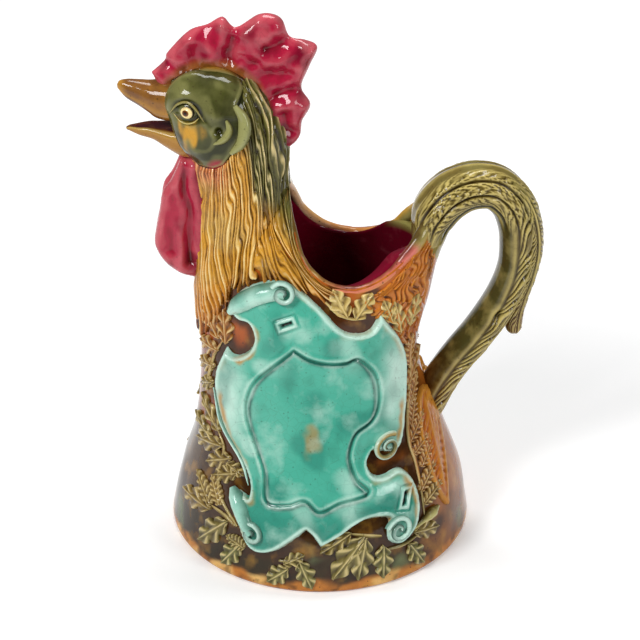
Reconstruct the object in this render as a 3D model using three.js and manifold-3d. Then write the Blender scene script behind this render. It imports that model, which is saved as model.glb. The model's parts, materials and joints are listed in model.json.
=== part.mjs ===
// A majolica pitcher in the form of a crowing rooster. The bird stands on a bell shaped body whose open back
// is the mouth for filling, the hollow neck and the beak pour, and the tail bends round into the handle.
// Each node is a clay piece that is pressed by itself and luted to its neighbours with slip.
// Millimetres, +Z up. The bird looks along -X, its left flank faces -Y, and the origin is the middle of the
// face that it rests on.

import * as THREE from "three";
import { mergeVertices } from "three/addons/utils/BufferGeometryUtils.js";
import Module from "manifold-3d";

const wasm = await Module();
wasm.setup();

// Clay thicknesses and joints
const WALL = 5;
const FLOOR_THICKNESS = 7;
const SLIP_GAP = 0.3;
const HANDLE_ROOT_WALL = 14;

// Bell body: rises from one section to the next, and each section's middle, half length and half width
const FOOT_RADIUS = 85;
const SKIRT_RISE = 31;
const HIP_RISE = 29;
const WAIST_RISE = 47;
const SHOULDER_RISE = 41;
const RIM_RISE = 42;
const CLOSE_RISE = 22;
const FOOT = { z: 0, x: 0, long: FOOT_RADIUS, wide: FOOT_RADIUS };
const SKIRT = { z: FOOT.z + SKIRT_RISE, x: 0.5, long: 79, wide: 77.5 };
const HIP = { z: SKIRT.z + HIP_RISE, x: -0.5, long: 69.5, wide: 65.5 };
const WAIST = { z: HIP.z + WAIST_RISE, x: -6, long: 59.5, wide: 51.5 };
const SHOULDER = { z: WAIST.z + SHOULDER_RISE, x: -3.5, long: 64, wide: 42 };
const RIM = { z: SHOULDER.z + RIM_RISE, x: 0.75, long: 65.25, wide: 27 };
const CLOSE = { z: RIM.z + CLOSE_RISE, x: 0, long: 62, wide: 8 };

// Mouth in the back: a saddle that dips between the nape and the handle
const MOUTH_DIP = 35;
const MOUTH_LIP = 2;
const MOUTH_SHOULDER = 7;
const HANDLE_SEAT_DROP = 6;

// Neck and head: the same kind of sections, closed by a domed crown
const COLLAR_RISE = 10;
const THROAT_RISE = 22;
const JAW_RISE = 16;
const CHEEK_RISE = 14;
const CROWN_RISE = 21.5;
const CROWN_LEAN = 4.5;
const NECK_ROOT = { z: SHOULDER.z, x: -41, long: 26, wide: 27 };
const COLLAR = { z: RIM.z + COLLAR_RISE, x: -40.25, long: 23.25, wide: 24 };
const THROAT = { z: COLLAR.z + THROAT_RISE, x: -42.75, long: 25.75, wide: 23.5 };
const JAW = { z: THROAT.z + JAW_RISE, x: -47.5, long: 28, wide: 25 };
const CHEEK = { z: JAW.z + CHEEK_RISE, x: -52.4, long: 26.9, wide: 24 };

// Heights of the two slip joints, below the neck and below the head
const NECK_JOINT_DROP = 18;
const neckJointZ = RIM.z - NECK_JOINT_DROP;
const headJointZ = THROAT.z;

// Beak, measured forward of the cheek's front and up or down from the cheek
const BEAK_LENGTH = 25.5;
const BEAK_HALF_WIDTH = 9;
const LOWER_BEAK_LENGTH = 22;
const BEAK_WALL = 2.5;
const POUR_HOLE_WIDTH = 11;
const POUR_HOLE_HEIGHT = 9;
const POUR_HOLE_DROP = 14;

// Face
const EYE_RADIUS = 4.6;
const EYE_SUNK_SHARE = 0.6;
const EYE_AHEAD = 14;
const EYE_ABOVE = 4;
const LOBE_LENGTH = 9;
const LOBE_WIDTH = 4.5;
const LOBE_BEHIND = 11;
const LOBE_BELOW = 5;
const LOBE_PROUD = 1.6;

// Comb: height of its edge above the skull, at angles in degrees round a middle a little below the cheek,
// from the tail side over the top to the beak
const COMB_THICKNESS = 11;
const COMB_BEVEL = 2.5;
const COMB_MIDDLE_DROP = 2;
const COMB_EDGE_POINTS = 60;
const COMB_EDGE = [
  [-35, 0.5], [-28, 6], [-22, 9], [-10, 13], [1, 20], [8, 17], [14, 18], [25, 27], [33, 36],
  [39, 33], [46, 30], [55, 35], [62, 34.5], [67, 31.5], [72, 25], [78, 21.7], [86, 26], [91, 23],
  [97, 21.5], [109, 19], [120, 15.5], [130, 12.4], [137, 10], [145, 11], [151, 10.5], [158, 1.5],
];

// Wattles: a pair of lobes under the beak, ahead of the throat
const WATTLE_LENGTH = 68;
const WATTLE_REACH = 24;
const WATTLE_THICKNESS = 9;
const WATTLE_PARTING = 3;
const WATTLE_BEVEL = 2.5;
const WATTLE_EDGE_POINTS = 24;

// Handle: middle line beyond the rim's tail end, and half thickness and half width along it
const HANDLE_REACH = 43;
const HANDLE_ARCH = 16;
const HANDLE_HALF_WIDTH = 13;
const HANDLE_HALF_THICKNESS = 8.6;
const HANDLE_ROOT_HALF_WIDTH = 16;
const HANDLE_ROOT_HALF_THICKNESS = 12;
const HANDLE_END_HALF_WIDTH = 12;
const HANDLE_END_HALF_THICKNESS = 9;
const FEATHER_GROOVE_DEPTH = 1.6;
const FEATHER_GROOVES = [45, 90, 135];
const PLUME_HALF_WIDTH = 8;
const PLUME_HALF_THICKNESS = 5;
const PLUME_TIP_HALF = 2;
const PLUME_HOOK_DROP = 76;

// Raised work on the flanks
const SCROLL_RELIEF = 4.2;
const SPRAY_RELIEF = 2.4;
const STEM_WIDTH = 3;
const ROLL_RADIUS = 6.5;
const SHIELD_GROOVE_DEPTH = 1.8;
const SHIELD_GROOVE_SHARE = 0.035;
const VOLUTE_RISE = 1.6;
const VOLUTE_BAND = 2.2;
const VOLUTE_TURNS = 1.25;
const VOLUTE_INNER_SHARE = 0.28;
const SPRAY_CLEARANCE = 0.8;
const SADDLE_PLUME_WIDTH = 9;

// Facets
const BELL_SIDES = 36;
const BELL_RINGS = 10;
const NECK_SIDES = 24;
const NECK_RINGS = 8;
const CROWN_RINGS = 5;
const TUBE_SIDES = 12;
const BALL_SIDES = 16;
const BALL_RINGS = 10;
const HANDLE_SIDES = 24;
const HANDLE_STEPS = 32;
const PLUME_STEPS = 24;
const ROLL_STEPS = 6;
const VOLUTE_STEPS = 8;
const EDGE_SEGMENTS = 24;
const SEARCH_STEPS = 24;

// How far a cutting form reaches past what it cuts, and the distance within which corners are one corner
const CUT_MARGIN = 20;
const WELD = 1e-4;

const BODY_ROWS = [FOOT, SKIRT, HIP, WAIST, SHOULDER, RIM, CLOSE];
const NECK_ROWS = [NECK_ROOT, COLLAR, THROAT, JAW, CHEEK];

// A smooth run of sections through the given rows: middle, half length and half width at any height
function sections(rows) {
  const heights = rows.map((row) => row.z);
  const values = rows.flatMap((row) => [row.x, row.long, row.wide]);
  const curve = new THREE.CubicInterpolant(heights, values, 3, new Float64Array(3));
  return (z) => {
    const [x, long, wide] = curve.evaluate(THREE.MathUtils.clamp(z, heights[0], heights.at(-1)));
    return { z, x, long, wide };
  };
}

const bodyAt = sections(BODY_ROWS);
const neckAt = sections(NECK_ROWS);

// The domed crown above the cheek, as a share from 0 at the cheek to 1 at the top
function crownAt(share, grow = 0) {
  const angle = (share * Math.PI) / 2;
  return {
    z: CHEEK.z + (CROWN_RISE + grow) * Math.sin(angle),
    x: CHEEK.x - CROWN_LEAN * Math.sin(angle),
    long: (CHEEK.long + grow) * Math.cos(angle),
    wide: (CHEEK.wide + grow) * Math.cos(angle),
  };
}

// Section of the neck or the crown at a height, for placing what sits on the head
function headAt(z) {
  if (z <= CHEEK.z) return neckAt(z);
  return crownAt((2 / Math.PI) * Math.asin(Math.min(1, (z - CHEEK.z) / CROWN_RISE)));
}

function ellipseRing(section, sides, grow = 0) {
  const ring = [];
  for (let side = 0; side < sides; side++) {
    const angle = (2 * Math.PI * side) / sides;
    const x = section.x + (section.long + grow) * Math.cos(angle);
    ring.push(new THREE.Vector3(x, (section.wide + grow) * Math.sin(angle), section.z));
  }
  return ring;
}

// Rings joined side by side and closed at each end, by a fan or by the faces given; a ring of one point
// is a pole
function loft(rings, endFaces = null) {
  const points = [];
  const faces = [];
  const starts = rings.map((ring) => {
    points.push(...ring);
    return points.length - ring.length;
  });
  const cap = (ring, start, up) => {
    if (ring.length === 1) return;
    if (endFaces) {
      const corners = endFaces.map((face) => face.map((corner) => start + corner));
      faces.push(...corners.map((face) => (up ? face : face.reverse())));
      return;
    }
    const sum = ring.reduce((total, point) => total.add(point), new THREE.Vector3());
    points.push(sum.divideScalar(ring.length));
    for (let i = 0; i < ring.length; i++) {
      const next = start + ((i + 1) % ring.length);
      faces.push(up ? [start + i, next, points.length - 1] : [next, start + i, points.length - 1]);
    }
  };
  for (let level = 0; level + 1 < rings.length; level++) {
    const sides = Math.max(rings[level].length, rings[level + 1].length);
    for (let i = 0; i < sides; i++) {
      const corner = (up, turn) => starts[level + up] + ((i + turn) % rings[level + up].length);
      const quad = [corner(0, 0), corner(0, 1), corner(1, 1), corner(1, 0)];
      if (rings[level].length > 1) faces.push([quad[0], quad[1], quad[2]]);
      if (rings[level + 1].length > 1) faces.push([quad[0], quad[2], quad[3]]);
    }
  }
  cap(rings[0], starts[0], false);
  cap(rings.at(-1), starts.at(-1), true);
  const geometry = new THREE.BufferGeometry().setFromPoints(points);
  geometry.setIndex(faces.flat());
  return geometry;
}

function signedVolume(positions, index) {
  const corners = [new THREE.Vector3(), new THREE.Vector3(), new THREE.Vector3()];
  let sum = 0;
  for (let i = 0; i < index.length; i += 3) {
    corners.forEach((corner, k) => corner.fromArray(positions, 3 * index[i + k]));
    sum += corners[0].dot(corners[1].cross(corners[2])) / 6;
  }
  return sum;
}

// A closed geometry as a solid for joining and cutting, with its faces turned outwards
function solid(geometry) {
  const bare = geometry.clone();
  bare.deleteAttribute("normal");
  bare.deleteAttribute("uv");
  const welded = mergeVertices(bare, WELD);
  const positions = new Float32Array(welded.getAttribute("position").array);
  const index = new Uint32Array(welded.getIndex().array);
  if (signedVolume(positions, index) < 0) index.reverse();
  return new wasm.Manifold(new wasm.Mesh({ numProp: 3, vertProperties: positions, triVerts: index }));
}

function geometryOf(manifold) {
  const { vertProperties, triVerts } = manifold.getMesh();
  const geometry = new THREE.BufferGeometry();
  geometry.setAttribute("position", new THREE.BufferAttribute(new Float32Array(vertProperties), 3));
  geometry.setIndex(new THREE.BufferAttribute(new Uint32Array(triVerts), 1));
  geometry.computeVertexNormals();
  return geometry;
}

const joined = (solids) => solids.reduce((sum, next) => sum.add(next));

function block(xMin, xMax, yMin, yMax, zMin, zMax) {
  const box = new THREE.BoxGeometry(xMax - xMin, yMax - yMin, zMax - zMin);
  return solid(box.translate((xMin + xMax) / 2, (yMin + yMax) / 2, (zMin + zMax) / 2));
}

// A flat outline in X and Z, given a thickness from one Y to another
function plate(outline, yMin, yMax) {
  const options = { depth: yMax - yMin, bevelEnabled: false, curveSegments: EDGE_SEGMENTS };
  const geometry = new THREE.ExtrudeGeometry(outline, options);
  return solid(geometry.rotateX(Math.PI / 2).translate(0, yMax, 0));
}

// The same with rounded edges: the outline draws in towards a middle point at both faces
function roundedPlate(points, middle, yMin, yMax, rounding) {
  const levels = [[yMin, rounding], [yMin + rounding, 0], [yMax - rounding, 0], [yMax, rounding]];
  const rings = levels.map(([y, inward]) => points.map((point) => {
    const away = point.clone().sub(middle);
    const reach = away.length();
    away.setLength(Math.max(reach - inward, reach / 2));
    return new THREE.Vector3(middle.x + away.x, y, middle.y + away.y);
  }));
  return solid(loft(rings, THREE.ShapeUtils.triangulateShape(points, [])));
}

// A tube with an elliptical section along points in the XZ plane, closed at both ends; the inset depends on
// the angle round the section
function bentTube(path, halfThickness, halfWidth, steps, grow = 0, sides = TUBE_SIDES, inset = () => 0) {
  const curve = new THREE.CatmullRomCurve3(path.map(([x, z]) => new THREE.Vector3(x, 0, z)));
  const rings = [];
  for (let step = 0; step <= steps; step++) {
    const share = step / steps;
    const middle = curve.getPointAt(share);
    const along = curve.getTangentAt(share);
    const outward = new THREE.Vector3(-along.z, 0, along.x);
    const ring = [];
    for (let side = 0; side < sides; side++) {
      const angle = (2 * Math.PI * side) / sides;
      const rise = grow - inset(angle);
      const reach = (halfThickness(share) + rise) * Math.cos(angle);
      const point = middle.clone().addScaledVector(outward, reach);
      point.y = (halfWidth(share) + rise) * Math.sin(angle);
      ring.push(point);
    }
    rings.push(ring);
  }
  return solid(loft(rings));
}

// Straight runs between shares of a length, for a thickness that changes along a tube
function taper(stations) {
  return (share) => {
    const last = stations.findIndex(([at]) => at >= share);
    if (last <= 0) return stations[0][1];
    const [from, low] = stations[last - 1];
    const [to, high] = stations[last];
    return THREE.MathUtils.mapLinear(share, from, to, low, high);
  };
}

// A piece of the left flank as it is, or its mirror image on the right flank
function onFlank(piece, side) {
  return side < 0 ? piece : solid(geometryOf(piece).scale(1, -1, 1));
}

// A piece with room all round it, seen from the flank: copies of it moved a little each way
function withRoom(piece, room, ways = 8) {
  const copies = [piece];
  for (let way = 0; way < ways; way++) {
    const angle = (2 * Math.PI * way) / ways;
    const moved = geometryOf(piece).translate(room * Math.cos(angle), 0, room * Math.sin(angle));
    copies.push(solid(moved));
  }
  return joined(copies);
}

// The bird's outer form, filled, with every wall moved out by grow
function bodyForm(grow) {
  const rings = [];
  for (let level = 0; level <= BELL_RINGS; level++) {
    const z = THREE.MathUtils.lerp(FOOT.z, CLOSE.z, level / BELL_RINGS);
    rings.push(ellipseRing(bodyAt(z), BELL_SIDES, grow));
  }
  return solid(loft(rings));
}

function neckForm(grow) {
  const rings = [];
  for (let level = 0; level <= NECK_RINGS; level++) {
    const z = THREE.MathUtils.lerp(NECK_ROOT.z, CHEEK.z, level / NECK_RINGS);
    rings.push(ellipseRing(neckAt(z), NECK_SIDES, grow));
  }
  for (let level = 1; level < CROWN_RINGS; level++) {
    rings.push(ellipseRing(crownAt(level / CROWN_RINGS, grow), NECK_SIDES));
  }
  const top = crownAt(1, grow);
  rings.push([new THREE.Vector3(top.x, 0, top.z)]);
  return solid(loft(rings));
}

const birdForm = (grow) => bodyForm(grow).add(neckForm(grow));
const bird = birdForm(0);
const seat = birdForm(SLIP_GAP);

// Space inside: the body's hollow up to the rim, thicker walled where the handle springs, and the neck's
// hollow
const rimTailX = RIM.x + RIM.long;
const mouthRearX = rimTailX - HANDLE_ROOT_WALL;
const handleSeatZ = RIM.z - HANDLE_SEAT_DROP;
const rimFrontX = RIM.x - RIM.long + WALL;
const napeX = COLLAR.x + COLLAR.long + MOUTH_LIP;
const mouthMiddleX = (napeX + mouthRearX) / 2;
const mouthSillZ = RIM.z + MOUTH_SHOULDER;
const inset = (row) => ({ ...row, long: row.long - WALL, wide: row.wide - WALL });
const innerRim = {
  z: RIM.z, x: (rimFrontX + mouthRearX) / 2, long: (mouthRearX - rimFrontX) / 2, wide: RIM.wide - WALL,
};
const hollowAt = sections([...[FOOT, SKIRT, HIP, WAIST, SHOULDER].map(inset), innerRim]);

function bodyHollow() {
  const rings = [ellipseRing({ ...hollowAt(FOOT.z), z: FOOT.z - CUT_MARGIN }, BELL_SIDES)];
  for (let level = 0; level <= BELL_RINGS; level++) {
    const z = THREE.MathUtils.lerp(FOOT.z, RIM.z, level / BELL_RINGS);
    rings.push(ellipseRing(hollowAt(z), BELL_SIDES));
  }
  return solid(loft(rings));
}

// The mouth as seen from the flank: half an ellipse between the nape and the handle, open above the
// handle's root
function mouthCut() {
  const aboveZ = CLOSE.z + CUT_MARGIN;
  const outline = new THREE.Shape();
  outline.moveTo(napeX, aboveZ);
  outline.lineTo(napeX, mouthSillZ);
  const rearAngle = 2 * Math.PI - Math.asin((mouthSillZ - handleSeatZ) / MOUTH_DIP);
  const halfLength = (mouthRearX - napeX) / 2;
  outline.absellipse(mouthMiddleX, mouthSillZ, halfLength, MOUTH_DIP, Math.PI, rearAngle, false, 0);
  outline.lineTo(rimTailX + CUT_MARGIN, handleSeatZ);
  outline.lineTo(rimTailX + CUT_MARGIN, aboveZ);
  outline.closePath();
  const reach = FOOT_RADIUS + CUT_MARGIN;
  return plate(outline, -reach, reach);
}

const cheekFrontX = CHEEK.x - CHEEK.long;
const pourZ = CHEEK.z - POUR_HOLE_DROP;
const beakRoot = CHEEK.long / 2;

// The hole through the front of the head that the beak pours from
function pourHole() {
  const tube = new THREE.CylinderGeometry(1, 1, 2 * CHEEK.long, 16).rotateZ(Math.PI / 2);
  tube.scale(1, POUR_HOLE_WIDTH / 2, POUR_HOLE_HEIGHT / 2);
  return solid(tube.translate(cheekFrontX, 0, pourZ));
}

const shell = bird.subtract(bodyHollow()).subtract(neckForm(-WALL)).subtract(mouthCut());
const far = FOOT_RADIUS + HANDLE_REACH + CUT_MARGIN;
const neckBackX = COLLAR.x + COLLAR.long + 2 * CUT_MARGIN;
const aboveJoint = (z) => block(-far, neckBackX, -far, far, z, CHEEK.z + CROWN_RISE + CUT_MARGIN);
const halfGap = SLIP_GAP / 2;

function makeBellBody() {
  return shell.subtract(aboveJoint(neckJointZ - halfGap));
}

function makeNeck() {
  return shell.intersect(aboveJoint(neckJointZ + halfGap)).subtract(aboveJoint(headJointZ - halfGap));
}

function makeHead() {
  return shell.intersect(aboveJoint(headJointZ + halfGap)).subtract(pourHole());
}

// The floor fills the foot's opening, its underside level with the foot ring
function makeBaseFloor() {
  const levels = [FOOT.z, FOOT.z + FLOOR_THICKNESS];
  return solid(loft(levels.map((z) => ellipseRing(hollowAt(z), BELL_SIDES, -SLIP_GAP))));
}

// A half beak as elliptical sections from inside the skull to the tip: distance forward, top, bottom and
// half width
function beakForm(stations, tip, grow = 0) {
  const rings = stations.map(([ahead, top, bottom, half]) => {
    const ring = [];
    for (let side = 0; side < TUBE_SIDES; side++) {
      const angle = (2 * Math.PI * side) / TUBE_SIDES;
      const z = CHEEK.z + (top + bottom) / 2 + ((top - bottom) / 2 + grow) * Math.sin(angle);
      ring.push(new THREE.Vector3(cheekFrontX - ahead, (half + grow) * Math.cos(angle), z));
    }
    return ring;
  });
  rings.push([new THREE.Vector3(cheekFrontX - tip[0] - grow, 0, CHEEK.z + tip[1])]);
  return solid(loft(rings));
}

function upperBeakForm(grow) {
  const half = BEAK_HALF_WIDTH;
  const reach = BEAK_LENGTH;
  const stations = [
    [-beakRoot, 14, -6, half], [0, 14, -8, half], [0.3 * reach, 12.5, -4.5, 0.9 * half],
    [0.54 * reach, 12.6, -0.8, 0.68 * half], [0.77 * reach, 13, 2.6, 0.48 * half],
    [0.93 * reach, 12.6, 6, 0.3 * half],
  ];
  return beakForm(stations, [reach, 10.2], grow);
}

const LOWER_BEAK_TIP = -13.8;
const lowerBeakStations = [
  [-beakRoot, -9.5, -27, BEAK_HALF_WIDTH], [0, -9.3, -24.5, BEAK_HALF_WIDTH],
  [0.32 * LOWER_BEAK_LENGTH, -9.4, -20, 0.88 * BEAK_HALF_WIDTH],
  [0.55 * LOWER_BEAK_LENGTH, -9.8, -18.6, 0.72 * BEAK_HALF_WIDTH],
  [0.8 * LOWER_BEAK_LENGTH, -11, -17, 0.48 * BEAK_HALF_WIDTH],
];

function lowerBeakForm(grow) {
  return beakForm(lowerBeakStations, [LOWER_BEAK_LENGTH, LOWER_BEAK_TIP], grow);
}

function makeUpperBeak() {
  return upperBeakForm(0).subtract(seat);
}

// The lower beak is a trough that carries on from the pour hole
function makeLowerBeak() {
  const hollow = lowerBeakStations.map(([ahead, top, bottom, half]) => {
    return [ahead, top + 2 * BEAK_WALL, bottom + BEAK_WALL, Math.max(half - BEAK_WALL, 0.4 * half)];
  });
  const trough = beakForm(hollow, [LOWER_BEAK_LENGTH, LOWER_BEAK_TIP + 2 * BEAK_WALL]);
  return lowerBeakForm(0).subtract(trough).subtract(seat).subtract(upperBeakForm(SLIP_GAP));
}

// Distance from the skull's middle to its skin in the bird's mid plane, at an angle up from the tail side
const SKULL_X = CHEEK.x;
const SKULL_Z = CHEEK.z - COMB_MIDDLE_DROP;

function skullReach(angle) {
  let inside = 0;
  let outside = FOOT_RADIUS;
  const within = (reach) => {
    const x = SKULL_X + reach * Math.cos(angle);
    const z = SKULL_Z + reach * Math.sin(angle);
    const section = headAt(z);
    return z < CHEEK.z + CROWN_RISE && Math.abs(x - section.x) < section.long;
  };
  for (let step = 0; step < SEARCH_STEPS; step++) {
    const middle = (inside + outside) / 2;
    if (within(middle)) inside = middle;
    else outside = middle;
  }
  return inside;
}

function makeComb() {
  const edge = COMB_EDGE.map(([degrees, height]) => {
    const angle = THREE.MathUtils.degToRad(degrees);
    const reach = skullReach(angle) + height;
    return new THREE.Vector2(SKULL_X + reach * Math.cos(angle), SKULL_Z + reach * Math.sin(angle));
  });
  const middle = new THREE.Vector2(SKULL_X, SKULL_Z);
  const outline = [middle.clone(), ...new THREE.SplineCurve(edge).getPoints(COMB_EDGE_POINTS)];
  return roundedPlate(outline, middle, -COMB_THICKNESS / 2, COMB_THICKNESS / 2, COMB_BEVEL)
    .subtract(seat).subtract(upperBeakForm(SLIP_GAP));
}

// A wattle in outline: shares of its length down from the throat, and of its reach ahead of the throat's skin
const WATTLE_EDGE = [
  [-0.04, 0.1], [0.14, 0.42], [0.3, 0.72], [0.5, 0.88], [0.72, 1], [0.88, 0.82], [0.97, 0.5], [1, 0.1],
];

function makeWattle(side) {
  const skinX = COLLAR.x - COLLAR.long;
  const edge = WATTLE_EDGE.map(([down, ahead]) => {
    return new THREE.Vector2(skinX - ahead * WATTLE_REACH, THROAT.z - down * WATTLE_LENGTH);
  });
  const bottomZ = THROAT.z - WATTLE_LENGTH;
  const backEdge = [new THREE.Vector2(COLLAR.x, bottomZ), new THREE.Vector2(COLLAR.x, THROAT.z)];
  const outline = [...new THREE.SplineCurve(edge).getPoints(WATTLE_EDGE_POINTS), ...backEdge];
  const middle = new THREE.Vector2(skinX, THROAT.z - WATTLE_LENGTH / 2);
  const inner = -WATTLE_PARTING / 2;
  const near = roundedPlate(outline, middle, inner - WATTLE_THICKNESS, inner, WATTLE_BEVEL);
  return onFlank(near, side).subtract(seat).subtract(lowerBeakForm(SLIP_GAP));
}

// Half width of the head at a point of its flank
function flankY(x, z) {
  const section = headAt(z);
  const share = THREE.MathUtils.clamp((x - section.x) / section.long, -0.95, 0.95);
  return section.wide * Math.sqrt(1 - share * share);
}

function makeEye(side) {
  const x = CHEEK.x - EYE_AHEAD;
  const z = CHEEK.z + EYE_ABOVE;
  const y = -flankY(x, z) + EYE_SUNK_SHARE * EYE_RADIUS;
  const ball = new THREE.SphereGeometry(EYE_RADIUS, BALL_SIDES, BALL_RINGS).translate(x, y, z);
  return onFlank(solid(ball), side).subtract(seat);
}

function makeEarLobe(side) {
  const x = CHEEK.x + LOBE_BEHIND;
  const z = CHEEK.z - LOBE_BELOW;
  const ball = new THREE.SphereGeometry(1, BALL_SIDES, BALL_RINGS);
  ball.scale(LOBE_WIDTH, 2 * LOBE_PROUD, LOBE_LENGTH);
  return onFlank(solid(ball.translate(x, -flankY(x, z) + LOBE_PROUD, z)), side).subtract(seat);
}

// Middle line of the handle: up from the rim's tail end, over, and down to the back of the hip
function handlePath() {
  const rootX = rimTailX - HANDLE_ROOT_WALL / 2;
  const topZ = RIM.z + HANDLE_ARCH;
  const backX = rimTailX + HANDLE_REACH;
  const hip = bodyAt(HIP.z + WAIST_RISE / 2);
  const endX = hip.x + hip.long;
  const endZ = hip.z;
  return [
    [rootX - 4, RIM.z - 12], [rootX + 1, RIM.z - 2], [rootX + 8, RIM.z + 0.45 * HANDLE_ARCH],
    [rootX + 17.5, RIM.z + 0.85 * HANDLE_ARCH], [rootX + 26.5, topZ - 0.5], [rootX + 36, topZ - 2],
    [backX - 6.5, RIM.z + 4], [backX - 3.5, RIM.z - 7], [backX - 2.8, RIM.z - 20], [backX - 4, RIM.z - 34],
    [backX - 8, RIM.z - 47], [backX - 14, RIM.z - 60], [backX - 23, RIM.z - 75],
    [endX + 14, endZ + 16], [endX + 4, endZ], [endX - 12, endZ - 22],
  ];
}

const handleThickness = taper([
  [0, HANDLE_ROOT_HALF_THICKNESS], [0.2, HANDLE_ROOT_HALF_THICKNESS],
  [0.45, HANDLE_HALF_THICKNESS], [1, HANDLE_END_HALF_THICKNESS],
]);
const handleWidth = taper([
  [0, HANDLE_ROOT_HALF_WIDTH], [0.12, HANDLE_ROOT_HALF_WIDTH],
  [0.5, HANDLE_HALF_WIDTH], [1, HANDLE_END_HALF_WIDTH],
]);

// Grooves that part the handle's feathers, at the same angles from its back on both flanks
function featherGroove(angle) {
  const degrees = Math.round(THREE.MathUtils.radToDeg(angle));
  const fromBack = Math.min(degrees, 360 - degrees);
  return FEATHER_GROOVES.includes(fromBack) ? FEATHER_GROOVE_DEPTH : 0;
}

function handleForm(grow) {
  const steps = HANDLE_STEPS;
  return bentTube(handlePath(), handleThickness, handleWidth, steps, grow, HANDLE_SIDES, featherGroove);
}

function makeHandle() {
  return handleForm(0).subtract(seat).subtract(mouthCutBelowHandle());
}

// The mouth's rear wall, so that the handle's root doesn't lean over the opening
function mouthCutBelowHandle() {
  const reach = FOOT_RADIUS;
  return block(COLLAR.x, mouthRearX + SLIP_GAP, -reach, reach, SHOULDER.z - CUT_MARGIN, RIM.z);
}

// The sickle feather outside the handle, from the top of the arch to a free hook behind
function makeTailPlume() {
  const backX = rimTailX + HANDLE_REACH;
  const topZ = RIM.z + HANDLE_ARCH;
  const hookZ = RIM.z - PLUME_HOOK_DROP;
  const path = [
    [backX - 34, topZ + 6], [backX - 18, topZ + 4.5], [backX - 5, topZ - 4], [backX + 2.5, RIM.z + 1],
    [backX + 5.8, RIM.z - 12], [backX + 5.5, RIM.z - 27], [backX + 2.5, RIM.z - 41],
    [backX - 0.5, RIM.z - 55], [backX - 1.5, hookZ + 12], [backX - 0.5, hookZ + 2],
  ];
  const thick = taper([[0, PLUME_TIP_HALF], [0.5, PLUME_HALF_THICKNESS], [1, PLUME_TIP_HALF]]);
  const wide = taper([
    [0, PLUME_TIP_HALF], [0.3, PLUME_HALF_WIDTH], [0.6, PLUME_HALF_WIDTH], [1, PLUME_TIP_HALF],
  ]);
  return bentTube(path, thick, wide, PLUME_STEPS).subtract(handleForm(SLIP_GAP));
}

// Raised work is a flat outline laid on the flank: the part of its prism between the slip and the relief's
// top
const coats = new Map();

function coat(relief) {
  if (!coats.has(relief)) coats.set(relief, birdForm(relief));
  return coats.get(relief);
}

function laidOn(prism, relief) {
  return prism.intersect(coat(relief)).subtract(seat);
}

const flankReach = FOOT_RADIUS + 4 * SCROLL_RELIEF;

// The scroll's edge, stretch by stretch between its corners, in X and height above the waist
const SCROLL_EDGE = [
  [[-47.5, 40], [-44.5, 48.5], [-36, 55.5], [-24, 59.5], [-13, 57], [-1, 47.5], [10.5, 35], [18, 31.5],
    [25, 31.5], [29, 36], [31, 41.5]],
  [[31, 41.5], [36, 33.5], [41.5, 24], [45, 10], [45.5, -10], [44, -30.5], [40.5, -37.5], [34, -36],
    [27, -34]],
  [[27, -34], [25, -39], [27.5, -45], [33, -47.5], [41, -46], [47, -50.5], [51.5, -59], [53.5, -70],
    [51, -79.5], [43, -85], [37, -81.5], [36, -76]],
  [[36, -76], [36.5, -70], [31, -68.2], [24.5, -68], [17.5, -70.7], [10.5, -75], [0.3, -80.3]],
  [[0.3, -80.3], [-4, -74.5], [-7.3, -71.7]],
  [[-7.3, -71.7], [-17, -79.5], [-23, -84], [-30, -87], [-36.5, -86.5], [-41, -81.5], [-45, -70.5],
    [-48, -60]],
  [[-48, -60], [-44, -57.7], [-38, -59.5]],
  [[-38, -59.5], [-37, -53], [-40, -44], [-47, -34], [-52.5, -22.5], [-55, -10], [-54.5, 3],
    [-49.5, 18.7]],
  [[-49.5, 18.7], [-46, 15.5], [-41, 17], [-36.5, 21.5], [-34.5, 28], [-37, 34.5], [-42.5, 35.5],
    [-47.5, 40]],
];
// The shield in the scroll's middle, and the volutes' middles, radii and turning, in the same measures
const SHIELD_MIDDLE = [-4, -18];
const SHIELD_EDGE = [
  [-13.4, 24.5], [-31, 7.6], [-37, -5], [-37.5, -16], [-33.6, -28.7], [-28.8, -43.7], [-27.7, -59],
  [-16.4, -59], [-7.8, -56.3], [-0.3, -61.6], [10.5, -57.5], [25, -54.4], [19, -46.3], [15.8, -37.6],
  [15.2, -31.3], [18.4, -22.5], [26, -18], [29.2, -11], [29.4, -0.7], [26.4, 9.7], [19.3, 18.2], [13, 17],
  [4, 17.3], [-5.5, 19.8],
];
const VOLUTES = [
  { middle: [34, -33.5], radius: 7, turning: 1 },
  { middle: [41, -76], radius: 6.5, turning: -1 },
  { middle: [-36.5, -76], radius: 5.5, turning: 1 },
];
const SCROLL_TOP_ROLL = [[-46, 41], [-31, 49.5], [-15, 52]];
const SCROLL_FOOT_ROLL = [[-45, -61], [-42, -71], [-37, -81]];

function scrollOutline() {
  const points = SCROLL_EDGE.flatMap((stretch) => {
    const curve = new THREE.SplineCurve(stretch.map(([x, z]) => new THREE.Vector2(x, WAIST.z + z)));
    return curve.getPoints(stretch.length - 1).slice(0, -1);
  });
  return new THREE.Shape(points);
}

// Distance of the flank from the mid plane at a point of the body
function bodyFlankY(x, z) {
  const section = bodyAt(z);
  const share = THREE.MathUtils.clamp((x - section.x) / section.long, -0.98, 0.98);
  return section.wide * Math.sqrt(1 - share * share);
}

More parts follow.
